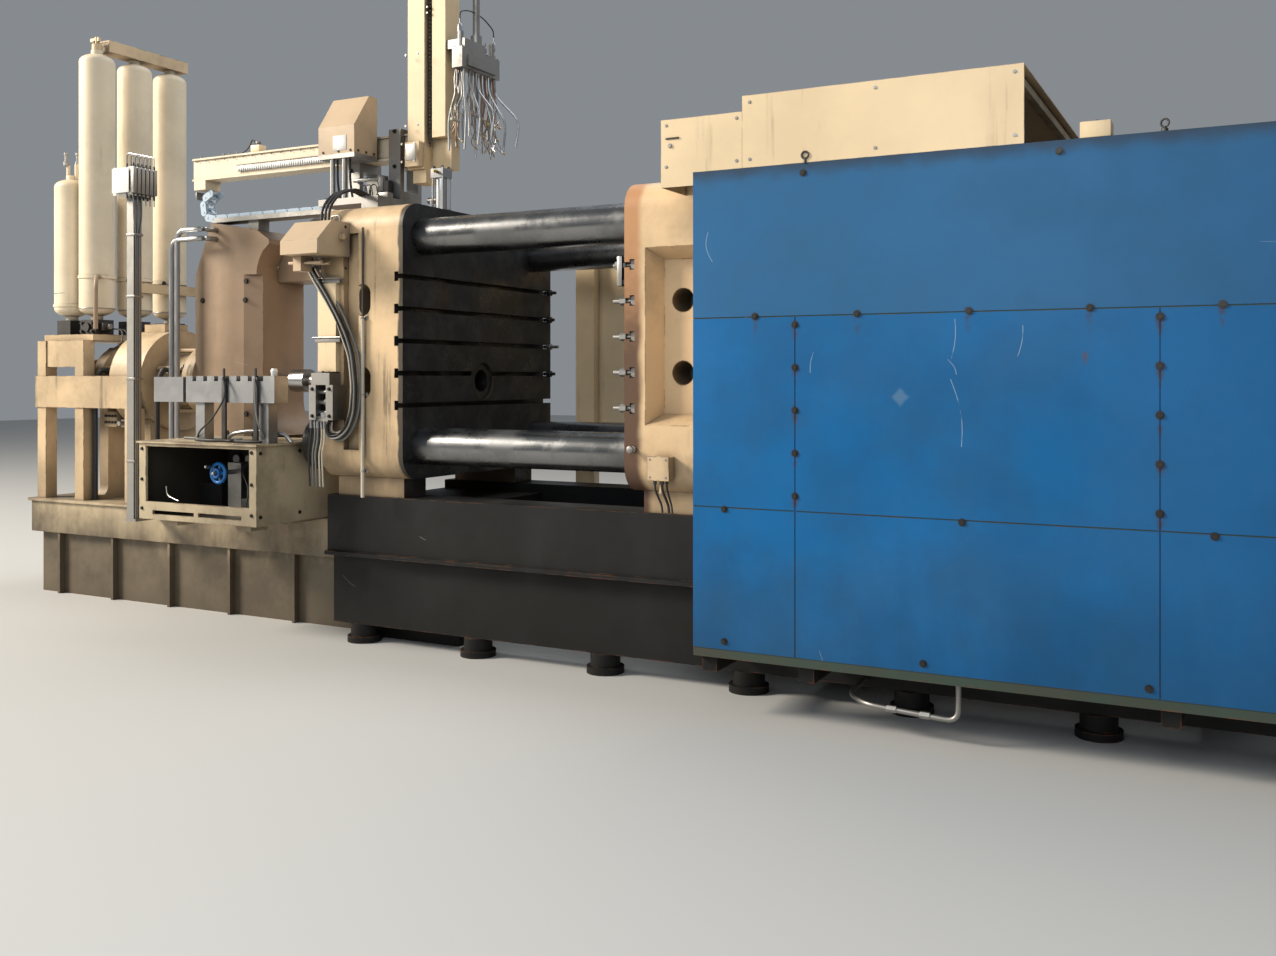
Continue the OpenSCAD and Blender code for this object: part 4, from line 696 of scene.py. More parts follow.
# %% Rings, paths and the skin over them
FRONT, BACK = (0, -1, 0), (0, 1, 0)
RIGHT, LEFT = (1, 0, 0), (-1, 0, 0)
UP = (0, 0, 1)
arc_steps = 5


def circle(centre, direction, radius, count, along=0.0):
    """Points on a circle that faces a direction, some way along it."""
    turn = Vector(direction).to_track_quat("Z", "Y").to_matrix()
    angles = [2 * math.pi * i / count for i in range(count)]
    return [Vector(centre) + turn @ Vector((radius * math.cos(angle), radius * math.sin(angle), along))
            for angle in angles]


def rounded_path(points, bend):
    """The same open path with each corner replaced by a short arc."""
    if bend <= 0:
        return points
    path = [points[0]]
    for before, corner, after in zip(points, points[1:], points[2:]):
        back, ahead = before - corner, after - corner
        cut = min(bend, 0.48 * back.length, 0.48 * ahead.length)
        start = corner + back.normalized() * cut
        end = corner + ahead.normalized() * cut
        for step in range(arc_steps + 1):
            t = step / arc_steps
            path.append((1 - t) ** 2 * start + 2 * t * (1 - t) * corner + t ** 2 * end)
    return path + [points[-1]]


def add_skin(part, rings, closed=False):
    """Covers a row of rings with faces and caps its ends, or joins them if it is closed."""
    count = len(rings[0])
    pairs = [(one, two, 0) for one, two in zip(rings, rings[1:])]
    if closed:
        last, first = rings[-1], rings[0]
        shift = min(range(count), key=lambda s: sum(
            (last[k].co - first[(k + s) % count].co).length for k in range(count)))
        pairs.append((last, first, shift))
    for one, two, shift in pairs:
        for i in range(count):
            j = (i + 1) % count
            part.faces.new((one[i], one[j], two[(j + shift) % count], two[(i + shift) % count]))
    if not closed:
        part.faces.new(reversed(rings[0]))
        part.faces.new(rings[-1])


print("a bend of a pipe has", arc_steps, "steps")

# %% [markdown]
# What is made here is handed to the body that it rides on. The frame's record names fewer
# finishes than there are here: each finish that it doesn't name is a closer look at one that it does.


def hand_over(piece, body, finish):
    """Gives a finished object to its body."""
    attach(piece, body)
    print(piece.name, "has", len(piece.data.polygons), "faces and is mostly", finish)


# %% [markdown]
# A piece is one mesh of many closed shapes, each with its own finish. Its edges are sharp
# where the surface turns by more than 38 degrees and smooth elsewhere, so that turned parts
# look round. The finish that most of its faces have is printed when it is handed over.

# %% Piece builder
sharp_angle = math.radians(38)


class Piece:
    """Closed shapes gathered in one mesh, each with its own finish."""

    def __init__(self, name, body="machine"):
        self.name, self.body = name, body
        self.shapes = bmesh.new()
        self.finishes = []

    def take(self, part, finish):
        """Moves a shape into the piece."""
        if finish not in self.finishes:
            self.finishes.append(finish)
        bmesh.ops.recalc_face_normals(part, faces=part.faces)
        for face in part.faces:
            face.material_index = self.finishes.index(finish)
        mesh = bpy.data.meshes.new("shape")
        part.to_mesh(mesh)
        part.free()
        self.shapes.from_mesh(mesh)
        bpy.data.meshes.remove(mesh)

    def box(self, low_corner, high_corner, finish, soft=0.003):
        """A block with softened edges."""
        part = bmesh.new()
        size = Vector(high_corner) - Vector(low_corner)
        bmesh.ops.create_cube(part, size=1.0, matrix=Matrix.Diagonal((*size, 1)))
        bmesh.ops.bevel(part, geom=part.edges[:], offset=min(soft, 0.3 * min(size)), segments=2,
                        affect="EDGES", profile=0.5)
        middle = (Vector(low_corner) + Vector(high_corner)) / 2
        bmesh.ops.transform(part, matrix=Matrix.Translation(middle), verts=part.verts)
        self.take(part, finish)

    def turned(self, start, direction, profile, finish, sides=20):
        """A turned part; profile lists its radius at distances along the direction."""
        part = bmesh.new()
        add_skin(part, [[part.verts.new(point) for point in circle(start, direction, radius, sides, along)]
                        for along, radius in profile])
        self.take(part, finish)

    def rod(self, start, end, radius, finish, sides=16):
        """A round bar with a small chamfer at both ends."""
        axis = Vector(end) - Vector(start)
        soft = min(0.15 * radius, 0.2 * axis.length)
        self.turned(start, axis, [(0, radius - soft), (soft, radius), (axis.length - soft, radius),
                                  (axis.length, radius - soft)], finish, sides)

    def upright(self, x, y, bottom, top, radius, finish, sides=16):
        """An upright round bar."""
        self.rod((x, y, bottom), (x, y, top), radius, finish, sides)

    def pipe(self, points, radius, finish, bend=0.03, sides=10, closed=False):
        """A pipe or hose along points, with its corners rounded off."""
        path = rounded_path([Vector(point) for point in points], bend)
        part = bmesh.new()
        rings, side = [], None
        for i, point in enumerate(path):
            before = path[i - 1] if i or closed else point
            after = path[(i + 1) % len(path)] if i < len(path) - 1 or closed else point
            along = (after - before).normalized()
            side = along.orthogonal() if side is None else side - along * side.dot(along)
            side.normalize()
            other = along.cross(side)
            rings.append([part.verts.new(point + radius * (
                side * math.cos(2 * math.pi * k / sides) + other * math.sin(2 * math.pi * k / sides)))
                for k in range(sides)])
        add_skin(part, rings, closed)
        self.take(part, finish)

    def ring(self, centre, normal, radius, thickness, finish, sides=24):
        """A round ring of round wire."""
        self.pipe(circle(centre, normal, radius, sides), thickness, finish, bend=0, sides=8, closed=True)

    def done(self, replaces=None):
        """Makes the object and hands it over."""
        mesh = bpy.data.meshes.new(self.name)
        self.shapes.to_mesh(mesh)
        self.shapes.free()
        for finish in self.finishes:
            mesh.materials.append(finishes[finish])
        mesh.polygons.foreach_set("use_smooth", [True] * len(mesh.polygons))
        mesh.set_sharp_from_angle(angle=sharp_angle)
        piece = bpy.data.objects.new(self.name, mesh)
        scene.collection.objects.link(piece)
        used = [face.material_index for face in mesh.polygons]
        hand_over(piece, self.body, self.finishes[max(range(len(self.finishes)), key=used.count)])
        if replaces:
            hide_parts(replaces)


print("a piece knows", ", ".join(name for name in vars(Piece) if not name.startswith("_")))

# %% [markdown]
# Bolts come by the hundred, so they are placed with Geometry Nodes: a mesh of loose points,
# one at each bolt's seat with the direction it faces stored on it, gets one hexagon head on a
# washer per point. Sizes are inputs of the tree, and each head is turned by chance.

# %% Fasteners with Geometry Nodes
fasteners = bpy.data.node_groups.new("fasteners", "GeometryNodeTree")
for label, kind in (("Geometry", "Geometry"), ("Head Radius", "Float"), ("Head Height", "Float"),
                    ("Washer Radius", "Float"), ("Washer Height", "Float"), ("Sides", "Int"),
                    ("Finish", "Material")):
    fasteners.interface.new_socket(label, in_out="INPUT", socket_type="NodeSocket" + kind)
fasteners.interface.new_socket("Geometry", in_out="OUTPUT", socket_type="NodeSocketGeometry")
given = {socket.name: Wire(socket) for socket in fasteners.nodes.new("NodeGroupInput").outputs}


def cylinder(radius, height, sides, base=0.0):
    """A short cylinder that stands on a base."""
    body = node(fasteners, "GeometryNodeMeshCylinder",
                {"Vertices": sides, "Radius": radius, "Depth": height}, "Mesh")
    lift = node(fasteners, "ShaderNodeCombineXYZ", {"Z": height * 0.5 + base})
    return node(fasteners, "GeometryNodeTransform", {"Geometry": body, "Translation": lift})


join = fasteners.nodes.new("GeometryNodeJoinGeometry")
for shape in (cylinder(given["Head Radius"], given["Head Height"], given["Sides"], given["Washer Height"]),
              cylinder(given["Washer Radius"], given["Washer Height"], 16)):
    feed(join.inputs["Geometry"], shape)
facing = node(fasteners, "GeometryNodeInputNamedAttribute", {"Name": "facing"}, "Attribute",
              data_type="FLOAT_VECTOR")
aligned = node(fasteners, "FunctionNodeAlignRotationToVector", {"Vector": facing}, axis="Z")
largest, seed, number = 3, 8, 1  # the sockets of a random number, by place
chance = node(fasteners, "FunctionNodeRandomValue", {largest: 2 * math.pi, seed: 7}, number,
              data_type="FLOAT")
spin = node(fasteners, "FunctionNodeAxisAngleToRotation", {"Axis": (0, 0, 1), "Angle": chance})
turned = node(fasteners, "FunctionNodeRotateRotation", {"Rotation": aligned, "Rotate By": spin},
              rotation_space="LOCAL")
heads = node(fasteners, "GeometryNodeInstanceOnPoints",
             {"Points": given["Geometry"], "Instance": Wire(join.outputs[0]), "Rotation": turned})
solid = node(fasteners, "GeometryNodeRealizeInstances", {"Geometry": heads})
painted = node(fasteners, "GeometryNodeSetMaterial", {"Geometry": solid, "Material": given["Finish"]})
feed(fasteners.nodes.new("NodeGroupOutput").inputs["Geometry"], painted)
print(fasteners.name, "is a tree of", len(fasteners.nodes), "nodes")


# %% [markdown]
# A row of bolts is then one call: the seats, the head's radius and how flat the head is. Most
# seats stand in a grid on one face, so a second helper crosses the places along each axis.

# %% Rows of bolts
def seats(direction, xs, ys, zs):
    """A grid of bolt seats that face one way; an axis is one number or several."""
    axes = [axis if isinstance(axis, tuple) else (axis,) for axis in (xs, ys, zs)]
    return [((x, y, z), direction) for x in axes[0] for y in axes[1] for z in axes[2]]


def bolts(name, places, head, finish="blued_bolt", body="machine", sides=6, washer=1.55, height=0.62):
    """Puts a bolt head on each (point, direction); head is the head's radius."""
    mesh = bpy.data.meshes.new(name)
    mesh.from_pydata([point for point, _ in places], [], [])
    facing = mesh.attributes.new("facing", "FLOAT_VECTOR", "POINT")
    facing.data.foreach_set("vector", [value for _, direction in places for value in direction])
    piece = bpy.data.objects.new(name, mesh)
    scene.collection.objects.link(piece)
    modifier = piece.modifiers.new("fasteners", "NODES")
    modifier.node_group = fasteners
    values = {"Head Radius": head, "Head Height": 2 * height * head, "Washer Radius": washer * head,
              "Washer Height": 0.22 * head, "Sides": sides, "Finish": finishes[finish]}
    for item in fasteners.interface.items_tree:
        if item.in_out == "INPUT" and item.name in values:
            modifier[item.identifier] = values[item.name]
    depsgraph = bpy.context.evaluated_depsgraph_get()
    real_mesh = bpy.data.meshes.new_from_object(piece.evaluated_get(depsgraph), depsgraph=depsgraph)
    piece.modifiers.clear()
    piece.data = real_mesh
    hand_over(piece, body, finish)


def circle_yz(x, y, z, radius, count, first=0.0):
    """Points on a circle that faces along the machine."""
    angles = [first + 2 * math.pi * i / count for i in range(count)]
    return [(x, y + radius * math.cos(angle), z + radius * math.sin(angle)) for angle in angles]


print("a grid of 2 by 3 seats has", len(seats(UP, (0, 1), (0, 1, 2), 0)), "bolts")

# %% [markdown]
# The guards are sheet panels bolted to posts. The seams carry hexagon bolts at about half a
# metre along the top row and a hand's width apart down the two upright seams. The far side
# has the same rows.

# %% Guard bolts
guard_y = high("guard_panels_rear")[1]
upper_z, middle_z, bottom_z = 2.712, 1.056, 0.392
guard_points = [(x, bolt_row_z) for x in (bolt_row_x, 2.985, 3.509, 4.027, 4.545)]
guard_points += [(x, bolt_row_z - 0.045 - column_pitch * i) for x in seam_x for i in range(5)]
guard_points += [(2.715, upper_z), (3.478, middle_z), (4.515, middle_z), (4.263, bottom_z), (2.30, bottom_z),
                 (3.30, bottom_z), (2.30, middle_z), (4.94, upper_z), (3.9, upper_z)]
bolts("guard_bolts", [((x, s * guard_y, z), (0, s, 0)) for s in (-1, 1) for x, z in guard_points],
      0.0115, height=0.28)

# %% [markdown]
# Two lifting eyes, a small cream box and folded seams belong to each row of guards. The top
# covers have a grab handle and an angle frame that shows in the open end.

# %% On the guards and covers
eye_x, left_eye_x = 4.324, 2.726
button_box_x = (3.984, 4.111)
piece = Piece("guard_fittings")
for s in (-1, 1):
    y = s * (guard_y - 0.012)
    piece.turned((eye_x, y, guard_height), UP, [(0, 0.014), (0.012, 0.014), (0.016, 0.007), (0.022, 0.007)],
                 "dark_steel", 12)
    piece.ring((eye_x, y, guard_height + 0.036), (0.4, 1, 0), 0.017, 0.0045, "dark_steel", 20)
    piece.upright(left_eye_x, s * (guard_y + 0.001), guard_height - 0.004, guard_height + 0.024, 0.007,
                  "dark_steel", 12)
    piece.ring((left_eye_x, s * (guard_y + 0.004), guard_height + 0.036), FRONT, 0.017, 0.0045,
               "dark_steel", 20)
    y0, y1 = sorted((s * (guard_y - 0.002), s * (guard_y - 0.118)))
    piece.box((button_box_x[0], y0, guard_height), (button_box_x[1], y1, guard_height + 0.072), "cream_cover")
    piece.upright(4.048, (y0 + y1) / 2, guard_height + 0.07, guard_height + 0.084, 0.014, "rubber")
    inner_y = s * (guard_y - 0.005)
    y0, y1 = sorted((inner_y, inner_y + s * 0.0012))
    for x in seam_x:
        piece.box((x - 0.012, y0, 0.36), (x + 0.012, y1, 2.01), "blue_paint", 0.0003)
small_low, small_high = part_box("small_top_cover")
y = small_low[1]
piece.pipe([(1.974, y, 2.945), (1.974, y - 0.005, 2.945), (2.046, y - 0.005, 2.945), (2.046, y, 2.945)],
           0.004, "dark_steel", 0.004, 8)
piece.rod((1.997, y, 2.907), (1.997, y - 0.008, 2.907), 0.011, "grey_steel", 12)
big_low, big_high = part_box("large_top_cover")
angle_x = big_high[0] - 0.05
for s in (-1, 1):
    y = s * (big_high[1] - 0.03)
    piece.box((angle_x - 0.02, y - 0.02, big_low[2] + 0.004), (angle_x + 0.02, y + 0.02, big_high[2] - 0.02),
              "cream_greasy_with_painted_shadow")
piece.box((big_high[0] - 0.07, big_low[1] + 0.03, big_high[2] - 0.06),
          (big_high[0] - 0.03, big_high[1] - 0.03, big_high[2] - 0.02), "cream_greasy_with_painted_shadow")
for s in (-1, 1):
    piece.pipe([(angle_x, s * 1.16, big_high[2] - 0.07), (angle_x, s * 0.86, big_low[2] + 0.01)],
               0.012, "dark_steel", 0)
piece.done()
screws = []
for s in (-1, 1):
    screws += seats((0, s, 0), (big_low[0] + 0.04, (big_low[0] + big_high[0]) / 2, big_high[0] - 0.04),
                    s * big_high[1], (big_low[2] + 0.04, big_high[2] - 0.035))
screws += seats(FRONT, (small_low[0] + 0.03, small_high[0] - 0.03), small_low[1],
                (small_high[2] - 0.03, 2.80))
bolts("cover_screws", screws, 0.006, "grey_steel", sides=12, washer=1.5, height=0.25)

# %% [markdown]
# Hoses and cables run down the operator's side of the fixed platen, from the lower motor
# cover past the lightening holes to the valve unit. They are clipped to the platen along a
# fixed route, so each is a bent pipe of its own beside that route: one thick black hose, and
# thinner black, grey and cream ones that leave it here and there.

# %% Hoses on the fixed platen
route = [(-0.690, 2.478), (-0.690, 2.410), (-0.565, 2.238), (-0.466, 2.101), (-0.401, 1.974), (-0.352, 1.860),
         (-0.328, 1.665), (-0.345, 1.500), (-0.385, 1.400), (-0.450, 1.340), (-0.525, 1.340), (-0.558, 1.380),
         (-0.558, 1.436)]
platen_side_y = low("fixed_platen")[1]
strands = [  # offset across the route, distance from the platen, radius, finish
    (0.000, 0.050, 0.0125, "rubber"), (0.020, 0.028, 0.0085, "rubber"), (-0.021, 0.030, 0.0080, "grey_hose"),
    (0.034, 0.046, 0.0065, "cream_hose"), (-0.010, 0.072, 0.0060, "grey_hose"),
    (0.013, 0.070, 0.0055, "rubber")]
last = len(route) - 1
piece = Piece("hose_bundle")
random.seed(11)
for across, out, radius, finish in strands:
    points = []
    for i, (x, z) in enumerate(route):
        ahead, behind = route[min(i + 1, last)], route[max(i - 1, 0)]
        run = Vector((ahead[0] - behind[0], 0, ahead[1] - behind[1])).normalized()
        sideways = Vector((run.z, 0, -run.x))
        stray = 0.006 * random.uniform(-1, 1) if 0 < i < last else 0
        points.append(Vector((x, platen_side_y - out, z)) + sideways * (across + stray))
    piece.pipe(points, radius, finish, 0.05, 10)
piece.done(replaces="platen_hoses")

# %% [markdown]
# A straight steel conduit stands beside the bundle, held by saddle clips, and the flat duct
# next to it has a strap with a rod and a hooked bracket at its top end.

# %% Conduit, clips and straps
piece = Piece("platen_fittings")
x, y = -0.300, platen_side_y - 0.018
piece.upright(x, y, 0.965, 2.10, 0.012, "cream_hose")
piece.upright(x, y, 2.10, 2.66, 0.007, "dark_steel", 12)
for z in (1.12, 1.60, 2.08):
    piece.box((x - 0.030, platen_side_y - 0.004, z), (x + 0.030, platen_side_y, z + 0.022),
              "grey_steel", 0.001)
    piece.ring((x, y, z + 0.011), UP, 0.015, 0.003, "grey_steel", 16)
duct_low, duct_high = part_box("cable_duct")
y = duct_low[1]
for z in (1.955, 2.330):
    bottom, top = z - 0.012, z + 0.012
    piece.box((duct_low[0] - 0.02, y - 0.004, bottom), (duct_high[0] + 0.045, y, top), "grey_steel", 0.001)
    piece.rod((duct_low[0] - 0.035, y - 0.012, z + 0.018), (duct_high[0] + 0.05, y - 0.012, z + 0.018),
              0.004, "grey_steel", 8)
    piece.box((duct_high[0] + 0.035, y - 0.004, bottom), (duct_high[0] + 0.045, platen_side_y, top),
              "grey_steel", 0.001)
piece.pipe([(duct_low[0] + 0.02, y, 2.355), (duct_low[0] - 0.035, y - 0.02, 2.365),
            (duct_low[0] - 0.035, y - 0.02, 2.43)], 0.005, "grey_steel", 0.02, 8)
piece.done()

# %% [markdown]
# The shot end has the most small parts. The lubricant distributor is a blank white plate in
# front of a stack of metering slices, each with a hairpin of thin tube on top and a stub
# below. Three tubes then run down to the bracket that carries the post.

# %% Lubricant distributor
lube_low, lube_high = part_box("lube_distributor")
bottom, top = lube_low[2], lube_high[2]
slices = 6
pitch = (lube_high[1] - lube_low[1]) / slices
piece = Piece("lube_tubes")
piece.box((lube_low[0] + 0.012, lube_low[1] - 0.004, bottom + 0.012),
          (lube_high[0] - 0.012, lube_low[1], top - 0.012), "white_paint", 0.001)
for i in range(slices):
    y = lube_low[1] + pitch * (i + 0.5)
    x = lube_high[0]
    left, right = x - 0.055, x + 0.012
    piece.box((x, y - 0.40 * pitch, bottom + 0.006), (x + 0.03, y + 0.40 * pitch, top - 0.006),
              "grey_steel", 0.002)
    for stub_x in (left, right):
        piece.upright(stub_x, y, top - 0.01, top + 0.022, 0.0075, "dark_steel", 6)
        piece.upright(stub_x, y, bottom - 0.028, bottom + 0.01, 0.0075, "dark_steel", 6)
    piece.pipe([(left, y, top + 0.015), (left, y, top + 0.095), (right, y, top + 0.095),
                (right, y, top + 0.015)], 0.0042, "bright_steel", 0.034, 8)
    piece.upright(right, y, bottom - 0.075, bottom - 0.02, 0.0042, "bright_steel", 8)
for i in range(3):
    y, post_y = lube_low[1] + pitch * (i + 2.2), -0.72 + 0.014 * i
    piece.pipe([(-2.560, y, bottom - 0.02), (-2.560, y, bottom - 0.16), (-2.556, post_y, bottom - 0.30),
                (-2.556, post_y, 0.69)], 0.0042, "bright_steel", 0.05, 8)
for z in (1.1, 1.7, 2.3, 2.75):
    piece.box((-2.637, -0.739, z), (-2.550, -0.661, z + 0.018), "grey_steel", 0.001)
piece.done()

# %% [markdown]
# Each pressure bottle has a charging valve on its neck, the straps are closed with bolts, and
# a steel pipe bends down from the strap beam. The valve blocks below have cap screws, plugs
# and a row of thin hoses.

# %% Accumulator fittings
bottle_low, bottle_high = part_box("accumulators_tall")
short_low, short_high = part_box("accumulator_short")
bottle_x = -3.64
charging_valve = [(0, 0.030), (0.018, 0.030), (0.022, 0.017), (0.060, 0.017), (0.064, 0.024), (0.082, 0.024)]
small_valve = [(0, 0.020), (0.03, 0.020), (0.034, 0.011), (0.085, 0.011), (0.088, 0.016), (0.105, 0.016)]
piece = Piece("accumulator_fittings")
for y in (-0.2, 0.161, 0.522):
    piece.turned((bottle_x - 0.02, y, bottle_high[2] - 0.002), UP, charging_valve, "dark_steel", 14)
    piece.ring((bottle_x, y, bottle_low[2] + 0.09), UP, 0.1355, 0.0035, "grey_steel", 40)
    piece.box((bottle_x + 0.09, y - 0.05, 2.095), (bottle_x + 0.135, y + 0.05, 2.155), "dark_steel")
    piece.rod((bottle_x + 0.13, y, 2.125), (bottle_x + 0.165, y, 2.125), 0.022, "grey_steel", 6)
short_x = short_low[0] + 0.135
for dx, dy in ((-0.045, -0.02), (0.03, 0.03)):
    piece.turned((short_x + dx, -0.2 + dy, short_high[2] - 0.004), UP, small_valve, "grey_steel", 12)
piece.ring((short_x, -0.2, short_low[2] + 0.22), UP, 0.1355, 0.0035, "grey_steel", 40)
piece.pipe([(-3.50, -0.29, 2.52), (-3.44, -0.36, 2.52), (-3.40, -0.40, 2.44), (-3.40, -0.40, 2.10)],
           0.017, "tan_paint", 0.07, 12)
for i in range(5):
    y = -0.18 + 0.035 * i
    piece.pipe([(bottle_x + 0.16, y, 2.11), (bottle_x + 0.28, y, 2.10),
                (bottle_x + 0.33 + 0.012 * i, y - 0.05, 1.99), (bottle_x + 0.30 + 0.012 * i, y - 0.10, 1.95)],
               0.006, "rubber", 0.07, 8)
piece.done()
strap_bolts = seats(RIGHT, -3.50, (-0.02, 0.34), 2.513) + seats(FRONT, (-3.70, -3.58), -0.29, (2.09, 2.155))
bolts("accumulator_bolts", strap_bolts, 0.012, "dark_steel", sides=8)

# %% [markdown]
# The C-frame is a thick steel casting with plugged bores on its face. The shot cylinder has
# nuts on its tie rods, two ports with hoses that run down to the bed, a hexagon fitting and a
# small box with two rows of plugs. Plugs and nuts come from the fastener tree.

# %% C-frame and shot cylinder
y = low("c_frame")[1]
plugs = [((x, y, z), FRONT) for x, z in ((-1.952, 2.432), (-1.962, 2.292), (-2.40, 2.30), (-2.40, 1.20),
                                         (-1.952, 1.45))]
bolts("c_frame_plugs", plugs, 0.017, sides=12, washer=1.2, height=0.2)
shot_z = 1.695
rod_nuts = [((x, y, z), LEFT) for x in (-2.590, -3.599)
            for _, y, z in circle_yz(0, 0, shot_z, 0.2525, 8, math.radians(22.5))]
bolts("shot_cylinder_nuts", rod_nuts, 0.024, "dark_steel", height=0.5, washer=1.4)
piece = Piece("shot_fittings")
for x in (-3.42, -2.72):
    piece.turned((x, -0.205, shot_z + 0.06), (0, -1, 0.25),
                 [(0, 0.042), (0.035, 0.042), (0.04, 0.028), (0.085, 0.028)], "dark_steel", 6)
    piece.pipe([(x, -0.28, shot_z + 0.078), (x, -0.335, shot_z + 0.09), (x - 0.05, -0.35, shot_z - 0.02),
                (x - 0.06, -0.34, 0.745)], 0.019, "rubber", 0.09, 12)
piece.turned((-3.20, -0.21, 1.36), FRONT, [(0, 0.05), (0.05, 0.05), (0.055, 0.036), (0.10, 0.036),
                                           (0.105, 0.02), (0.14, 0.02)], "grey_steel", 6)
piece.box((-3.42, -0.30, 1.33), (-3.28, -0.21, 1.45), "cream_paint")
for i in range(4):
    for z in (1.415, 1.365):
        piece.rod((-3.40 + 0.035 * i, -0.318, z), (-3.40 + 0.035 * i, -0.298, z), 0.010, "dark_steel", 6)
piece.done()

# %% [markdown]
# The valve cabinet's sheet panels are screwed on with small dark screws. Lifting eyes, a
# chromed pipe bend and loose-looking hoses lie on its lid, and inside are the dark valve
# blocks, gauges and cables behind the handwheel.

# %% Valve cabinet
cab_low, cab_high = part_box("valve_cabinet")
lid, floor_z = cab_high[2], cab_low[2] + 0.022
inner_back = cab_high[1] - 0.022
screws = seats(FRONT, (-1.974, -0.975), cab_low[1] + 0.016, (1.240, 1.036, 0.841))
side_y = (cab_low[1] + 0.05, (cab_low[1] + cab_high[1]) / 2, cab_high[1] - 0.04)
screws += seats(RIGHT, -0.934, side_y, (1.235, 0.83))
bolts("cabinet_screws", screws, 0.0095, sides=8, washer=1.25, height=0.35)
piece = Piece("cabinet_contents")
for x in (-1.448, -1.211):
    piece.turned((x, -0.90, lid), UP, [(0, 0.016), (0.012, 0.016), (0.015, 0.009), (0.024, 0.009)],
                 "dark_steel", 12)
    piece.ring((x, -0.90, lid + 0.044), (0.5, 1, 0), 0.023, 0.006, "dark_steel", 20)
on_lid = (  # places in x, y and above the lid, radius, finish, bend, sides
    (((-1.400, -0.96, 0.004), (-1.33, -0.97, 0.055), (-1.18, -0.97, 0.075), (-1.03, -0.95, 0.078),
      (-0.90, -0.93, 0.055), (-0.86, -0.92, 0.004)), 0.013, "bright_steel", 0.07, 12),
    (((-1.60, -1.03, 0.011), (-1.45, -1.06, 0.011), (-1.30, -1.02, 0.011), (-1.12, -1.07, 0.011),
      (-0.96, -1.02, 0.011)), 0.010, "rubber", 0.10, 10),
    (((-1.90, -0.86, 0.009), (-1.70, -0.89, 0.009), (-1.55, -0.84, 0.009), (-1.40, -0.82, 0.009)),
     0.008, "grey_hose", 0.10, 10))
for places, *look in on_lid:
    piece.pipe([(x, y, lid + above) for x, y, above in places], *look)
valve_blocks = (  # from and to in x and y, and the top
    (-1.91, -1.70, -0.72, -0.48, 0.98), (-1.27, -1.03, -0.78, -0.50, 1.05),
    (-1.25, -1.12, -0.97, -0.86, 0.92))
for x0, x1, y0, y1, top in valve_blocks:
    piece.box((x0, y0, floor_z), (x1, y1, top), "dark_paint")
    for k in range(3):
        piece.upright(x0 + (k + 0.5) * (x1 - x0) / 3, (y0 + y1) / 2, top - 0.002, top + 0.045, 0.020,
                      "dark_steel", 10)
for x, z in ((-1.86, 1.13), (-1.74, 1.13), (-1.13, 1.17)):
    piece.turned((x, inner_back, z), FRONT, [(0, 0.038), (0.035, 0.038), (0.038, 0.032)], "dark_steel", 24)
    piece.turned((x, inner_back - 0.034, z), FRONT, [(0, 0.031), (0.006, 0.031)], "white_paint", 24)
cables = 7
cable_bends = (  # least and most stray in x, offset in y, height
    (-0.05, 0.05, 0.02, 0.98), (-0.12, 0.05, 0.10, 1.12), (-0.1, 0.1, 0.25, 1.22))
random.seed(5)
for i in range(cables):
    x, y = random.uniform(-1.36, -1.04), random.uniform(-1.02, -0.84)
    points = [(x, y, floor_z + 0.01)]
    for least, most, back, z in cable_bends:
        points.append((x + random.uniform(least, most), y + back, z))
    piece.pipe(points, random.choice((0.004, 0.006, 0.008)), random.choice(("rubber", "rubber", "grey_hose")),
               0.08, 8)
wheel_x, _, wheel_z = (low("handwheel") + high("handwheel")) / 2
piece.turned((wheel_x, low("wheel_bracket")[1] - 0.004, wheel_z), FRONT,
             [(0, 0.013), (0.010, 0.013), (0.014, 0.008)], "bright_steel", 6)
piece.pipe([(-1.80, -1.10, 0.99), (-1.78, -1.11, 0.93), (-1.69, -1.115, 0.905), (-1.66, -1.12, 0.90)],
           0.005, "grey_steel", 0.03, 8)
piece.done()
piece = Piece("handwheel_grip", "wheel")
piece.turned(Vector((wheel_x - 0.045, low("handwheel")[1] + 0.013, wheel_z + 0.045)), FRONT,
             [(0, 0.006), (0.012, 0.006), (0.016, 0.012), (0.045, 0.014), (0.060, 0.009)], "bright_steel", 16)
piece.done()

# %% [markdown]
# The aluminium rail carries two clamped sensor arms with cables. The valve unit beside it has
# bolted plates, chromed rods with nuts, a conical plug, and hose ends in a row below.

# %% Rail and valve unit
rail_low, rail_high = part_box("ladle_rail")
unit_low, unit_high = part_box("valve_unit")
rail_y, rail_top, unit_bottom = rail_low[1], rail_high[2], unit_low[2]
piece = Piece("rail_and_valve_fittings")
for x in (-1.30, -1.02):
    piece.box((x - 0.018, rail_y - 0.016, rail_low[2] + 0.02), (x + 0.018, rail_y, rail_top - 0.01),
              "dark_steel")
    piece.upright(x, rail_y - 0.010, rail_top - 0.02, rail_top + 0.05, 0.008, "dark_steel", 10)
piece.turned((-0.93, -1.0, rail_top - 0.002), UP, [(0, 0.020), (0.02, 0.020), (0.035, 0.024), (0.05, 0.016)],
             "white_paint", 16)
piece.pipe([(-1.30, rail_y - 0.02, rail_top - 0.01), (-1.24, rail_y - 0.05, 1.60),
            (-1.36, rail_y - 0.05, 1.45), (-1.52, rail_y - 0.02, 1.36), (-1.60, -1.02, lid + 0.012)],
           0.006, "rubber", 0.10, 8)
piece.pipe([(-1.02, rail_y - 0.02, rail_top - 0.02), (-1.00, rail_y - 0.04, 1.58),
            (-0.985, rail_y - 0.03, 1.42), (-0.97, -1.03, lid + 0.012)], 0.005, "grey_hose", 0.08, 8)
